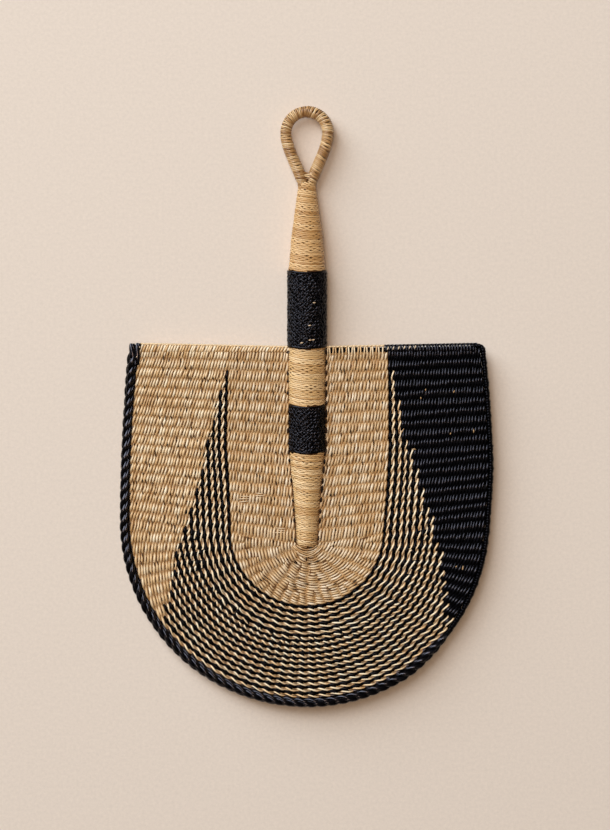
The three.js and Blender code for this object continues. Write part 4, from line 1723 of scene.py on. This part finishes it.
@dataclass
class TopEdge:
    """The whipped top edge: each row of weft ends in a stitch over the rim.

    On the left and over the black field the stitches stand close. To the right of the handle they lean
    together in pairs, which leaves a row of open eyes. Each fleck on the rope's end has its x and height.
    """

    shop: Workshop
    blade: WovenBlade
    eyed_end: float = 55.0
    corner: float = 121.8
    foot: float = 121.6
    eyed_foot: float = 119.0
    eyed_straw: float = 0.62
    stray: float = 0.3
    eyed_stray: float = 0.12
    stitch_rise: float = 1.75
    stitch_foot: float = 1.2
    tuck: float = 0.12
    widest_share: float = 0.42
    straw: StrawSize = StrawSize(0.92, 0.55)
    rim_straw: StrawSize = StrawSize(0.62, 0.55)
    cords: int = 4
    cord_spacing: float = 1.25
    cord_straw: StrawSize = StrawSize(0.75, 0.4)
    rope_flecks: tuple[tuple[float, float], ...] = ((-120.2, 124.4), (-122.4, 117.4))
    end_straw: StrawSize = StrawSize(0.5, 0.3)
    seed: int = 111

    def build(self) -> None:
        """Whips the three stretches."""
        left, right = self._places(-2.0), self._places(2.0)
        eyed = right[right < self.eyed_end]
        covered = right[(right > self.eyed_end) & (right < self.corner)]
        self._stretch("selvedge_left_stitches", left, 2.0, "left_natural")
        leaning = np.where(np.arange(len(eyed)) % 2, -0.5, 0.5)
        self._stretch("selvedge_right_stitches", eyed, leaning, "right_natural")
        self._eye_shade(eyed)
        self._stretch("selvedge_black_stitches", covered, 0.4, "right_black")
        self._pale_ends()

    def _places(self, station: float) -> np.ndarray:
        """Where each row meets the top edge, at its left or its right end."""
        end, rows = np.array(station), range(self.blade.inner_rows + self.blade.outer_rows)
        return np.array([PLAN.weave_at(end, self.blade.row_share(row, end))[0] for row in rows])

    def _stretch(self, name: str, places: np.ndarray, lean: Values, node: str) -> None:
        """Whips one stretch over a thin cord.

        Args:
            name: the piece's name.
            places: where its stitches stand.
            lean: how far each leans to the right.
            node: the end of the name of the solid that it stands for.
        """
        strands = Strands()
        chance = np.random.default_rng(self.seed + len(name))
        eyed = node == "right_natural"
        foot, stray = (self.eyed_foot, self.eyed_stray) if eyed else (self.foot, self.stray)
        turn = np.linspace(-0.5 * math.pi, 0.5 * math.pi, 13)
        ahead = np.concatenate([[-self.tuck], np.cos(turn), [-self.tuck]])
        rise, end = self.stitch_rise * np.sin(turn), self.stitch_foot
        level = PLAN.level + np.concatenate([[-end], rise, [end]])
        for number, (x, slant) in enumerate(zip(places, np.broadcast_to(lean, places.shape))):
            reach = PLAN.top_edge(x) + PLAN.selvedge_width / 2 - foot
            across = x + slant * ahead + stray * chance.uniform(-1, 1)
            points = np.stack([across, foot + reach * ahead, level], -1)
            strands.add(points, RIGHT, unit(np.cross(RIGHT, tangents(points))), number)
        black = node == "right_black"
        finish, slot = (BLACK_STRAW, "black_straw") if black else (SHADED_STRAW, "natural_straw")
        spacing = abs(float(places[-1] - places[0])) / max(len(places) - 1, 1)
        half_width = self.eyed_straw if eyed else min(self.straw.half_width, self.widest_share * spacing)
        size = replace(self.straw, half_width=half_width)
        self.shop.lay(name, strands, size, finish, slot, "selvedge_" + node)
        self._rim(name.replace("stitches", "rim"), places, finish, slot, "selvedge_" + node)

    def _rim(self, name: str, places: np.ndarray, finish: StrawFinish, slot: str, node: str) -> None:
        """Lays the thin cord that the stitches pass over.

        Args:
            name: the piece's name.
            places: where the stitches stand.
            finish: what the cord is made of.
            slot: the slot that it belongs to.
            node: the solid that it stands for.
        """
        x = np.linspace(places.min() - 1.2, places.max() + 1.2, 60)
        strands = Strands()
        for k in range(2):
            turn = x * 1.1 + math.pi * k
            height = PLAN.top_edge(x) + PLAN.selvedge_width / 2 + 0.25 * np.sin(turn)
            points = in_blade(np.stack([x, height], -1), PLAN.level + 0.9 + 0.4 * np.cos(turn))
            strands.add(points, AHEAD, UP, k)
        self.shop.lay(name, strands, self.rim_straw, finish, slot, node)

    def _eye_shade(self, places: np.ndarray) -> None:
        """Lays near-black cords behind the eyes, painted shade that shows through them.

        Args:
            places: where the eyes' stitches stand.
        """
        strands = Strands()
        x = np.linspace(places.min() - 0.5, places.max() + 3.2, 20)
        for k in range(self.cords):
            height = np.full_like(x, self.eyed_foot + 0.9 + self.cord_spacing * k)
            strands.add(in_blade(np.stack([x, height], -1), PLAN.level - 0.9), AHEAD, UP, k)
        node = "selvedge_right_natural"
        self.shop.lay("selvedge_right_eye_shade", strands, self.cord_straw, SUNK_BLACK, "black_straw", node)

    def _pale_ends(self) -> None:
        """Lets pale straw ends show between the first black stitches and at the rope's top end."""
        strands = Strands()
        along = np.linspace(-0.5, 0.5, 4)
        for k, x in enumerate(np.linspace(self.eyed_end + 3.2, self.eyed_end + 22.8, 6)):
            height = PLAN.top_edge(x + 0 * along) - 0.6 + 0.12 * k + 2.2 * along
            points = np.stack([x + 0.9 * along, height, PLAN.level + 2.45 - 1.2 * np.abs(along)], -1)
            strands.add(points, RIGHT, UP, k, 1.1 - np.abs(along), 0.8)
        for k, (x, height) in enumerate(self.rope_flecks):
            level = PLAN.level + 4.1 - 1.6 * np.abs(along)
            points = np.stack([x + 0.7 * along, height + 0.5 * along, level], -1)
            strands.add(points, AHEAD, UP, 20 + k, 1 - np.abs(along), 0.8)
        node = "selvedge_right_black"
        self.shop.lay("selvedge_pale_ends", strands, self.end_straw, DRY_STRAW, "natural_straw", node)


# The studio


@dataclass
class Studio:
    """A pale paper table, soft light from the upper left and a camera straight above the fan.

    Each lamp has its name, energy in watts, size and place in metres, and colour.
    """

    floor_colour: str = "#e2d4c4"
    floor_half: float = 2.0
    floor_roughness: float = 0.9
    floor_specular: float = 0.1
    mottles_per_metre: float = 420.0
    mottle: float = 0.07
    pixel: float = 0.72
    frame_pixels: tuple[int, int] = (610, 830)
    hub_pixel: tuple[float, float] = (307.0, 520.0)
    camera_height: float = 1.8
    sensor: float = 36.0
    room_colour: str = "#ffeeda"
    room_strength: float = 0.06
    lamps: tuple = (
        ("window", 500.0, 4.5, (-4.52, 4.52, 2.85), "#e3f1ff"),
        ("skylight", 140.0, 2.6, (-1.6, 2.3, 4.15), "#eef3fb"),
        ("ceiling", 23.0, 0.7, (-0.05, 0.1, 2.9), "#ffe0c4"),
    )

    def build(self) -> None:
        """Makes the floor, the light and the camera."""
        self._floor()
        self._light()
        self._camera()

    def _floor(self) -> None:
        """Lays the table: heavy cotton paper, dull, with a faint mottle every 2 mm or so."""
        mesh = bpy.data.meshes.new("table")
        half = self.floor_half
        corners = [(-half, -half, 0), (half, -half, 0), (half, half, 0), (-half, half, 0)]
        mesh.from_pydata(corners, [], [(0, 1, 2, 3)])
        paper, add, shader = start_material("cotton_paper")
        place = add("ShaderNodeTexCoord", out="Object")
        noise = {"Vector": place, "Scale": self.mottles_per_metre, "Detail": 3.0, "Roughness": 0.7}
        pulp = add("ShaderNodeTexNoise", inputs=noise)
        mottle = add("ShaderNodeMapRange", pulp, 0.2, 0.8, 1 - self.mottle, 1 + self.mottle)
        plain = linear(self.floor_colour)[:3]
        colour = add("ShaderNodeVectorMath", plain, inputs={"Scale": mottle}, operation="SCALE")
        dull = {"Roughness": self.floor_roughness, "Specular IOR Level": self.floor_specular}
        fill(shader, {"Base Color": colour} | dull)
        mesh.materials.append(paper)
        put_in_scene("table", mesh)

    def _light(self) -> None:
        """Hangs two cool windows at the upper left, a warm lamp overhead and a dim warm room."""
        for name, energy, size, place, colour in self.lamps:
            lamp = bpy.data.lights.new(name, "AREA")
            lamp.energy = energy
            lamp.size = size
            lamp.color = linear(colour)[:3]
            holder = put_in_scene(name, lamp)
            holder.location = place
            holder.rotation_euler = (-Vector(place)).to_track_quat("-Z", "Y").to_euler()
        world = bpy.data.worlds.new("room")
        world.use_nodes = True
        room = {"Color": linear(self.room_colour), "Strength": self.room_strength}
        fill(world.node_tree.nodes["Background"], room)
        bpy.context.scene.world = world

    def _camera(self) -> None:
        """Sets the camera straight above, framed as the photograph is."""
        wide, high = self.frame_pixels
        x, y = wide / 2 - self.hub_pixel[0], self.hub_pixel[1] - high / 2
        centre = to_model(np.array([x * self.pixel, y * self.pixel, PLAN.level]))
        camera = bpy.data.cameras.new("camera")
        camera.sensor_fit = "AUTO"
        camera.sensor_width = self.sensor
        camera.lens = self.sensor * self.camera_height / (high * self.pixel * MM)
        holder = put_in_scene("camera", camera)
        holder.location = Vector(centre) + Vector((0, 0, self.camera_height))
        bpy.context.scene.camera = holder


def dress_stakes(shop: Workshop) -> None:
    """Gives the stalks that stay as solids their finish.

    Args:
        shop: keeps the finishes.
    """
    for name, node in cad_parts.items():
        if name.startswith(("side_stake", "tip_stake", "handle_bundle", "loop_core")):
            node.data.materials.clear()
            node.data.materials.append(shop.material(STALK))


def main() -> None:
    """Builds the fan piece by piece, then the studio."""
    logging.basicConfig(level=logging.INFO, format="%(message)s")
    bpy.context.scene.view_settings.view_transform = "Standard"
    shop = Workshop()
    blade = WovenBlade(shop)
    blade.build()
    TipTurns(shop).build()
    RopedBorder(shop).build()
    TopEdge(shop, blade).build()
    WoundHandle(shop).build()
    HangingLoop(shop).build()
    dress_stakes(shop)
    Studio().build()


if __name__ == "__main__":
    main()
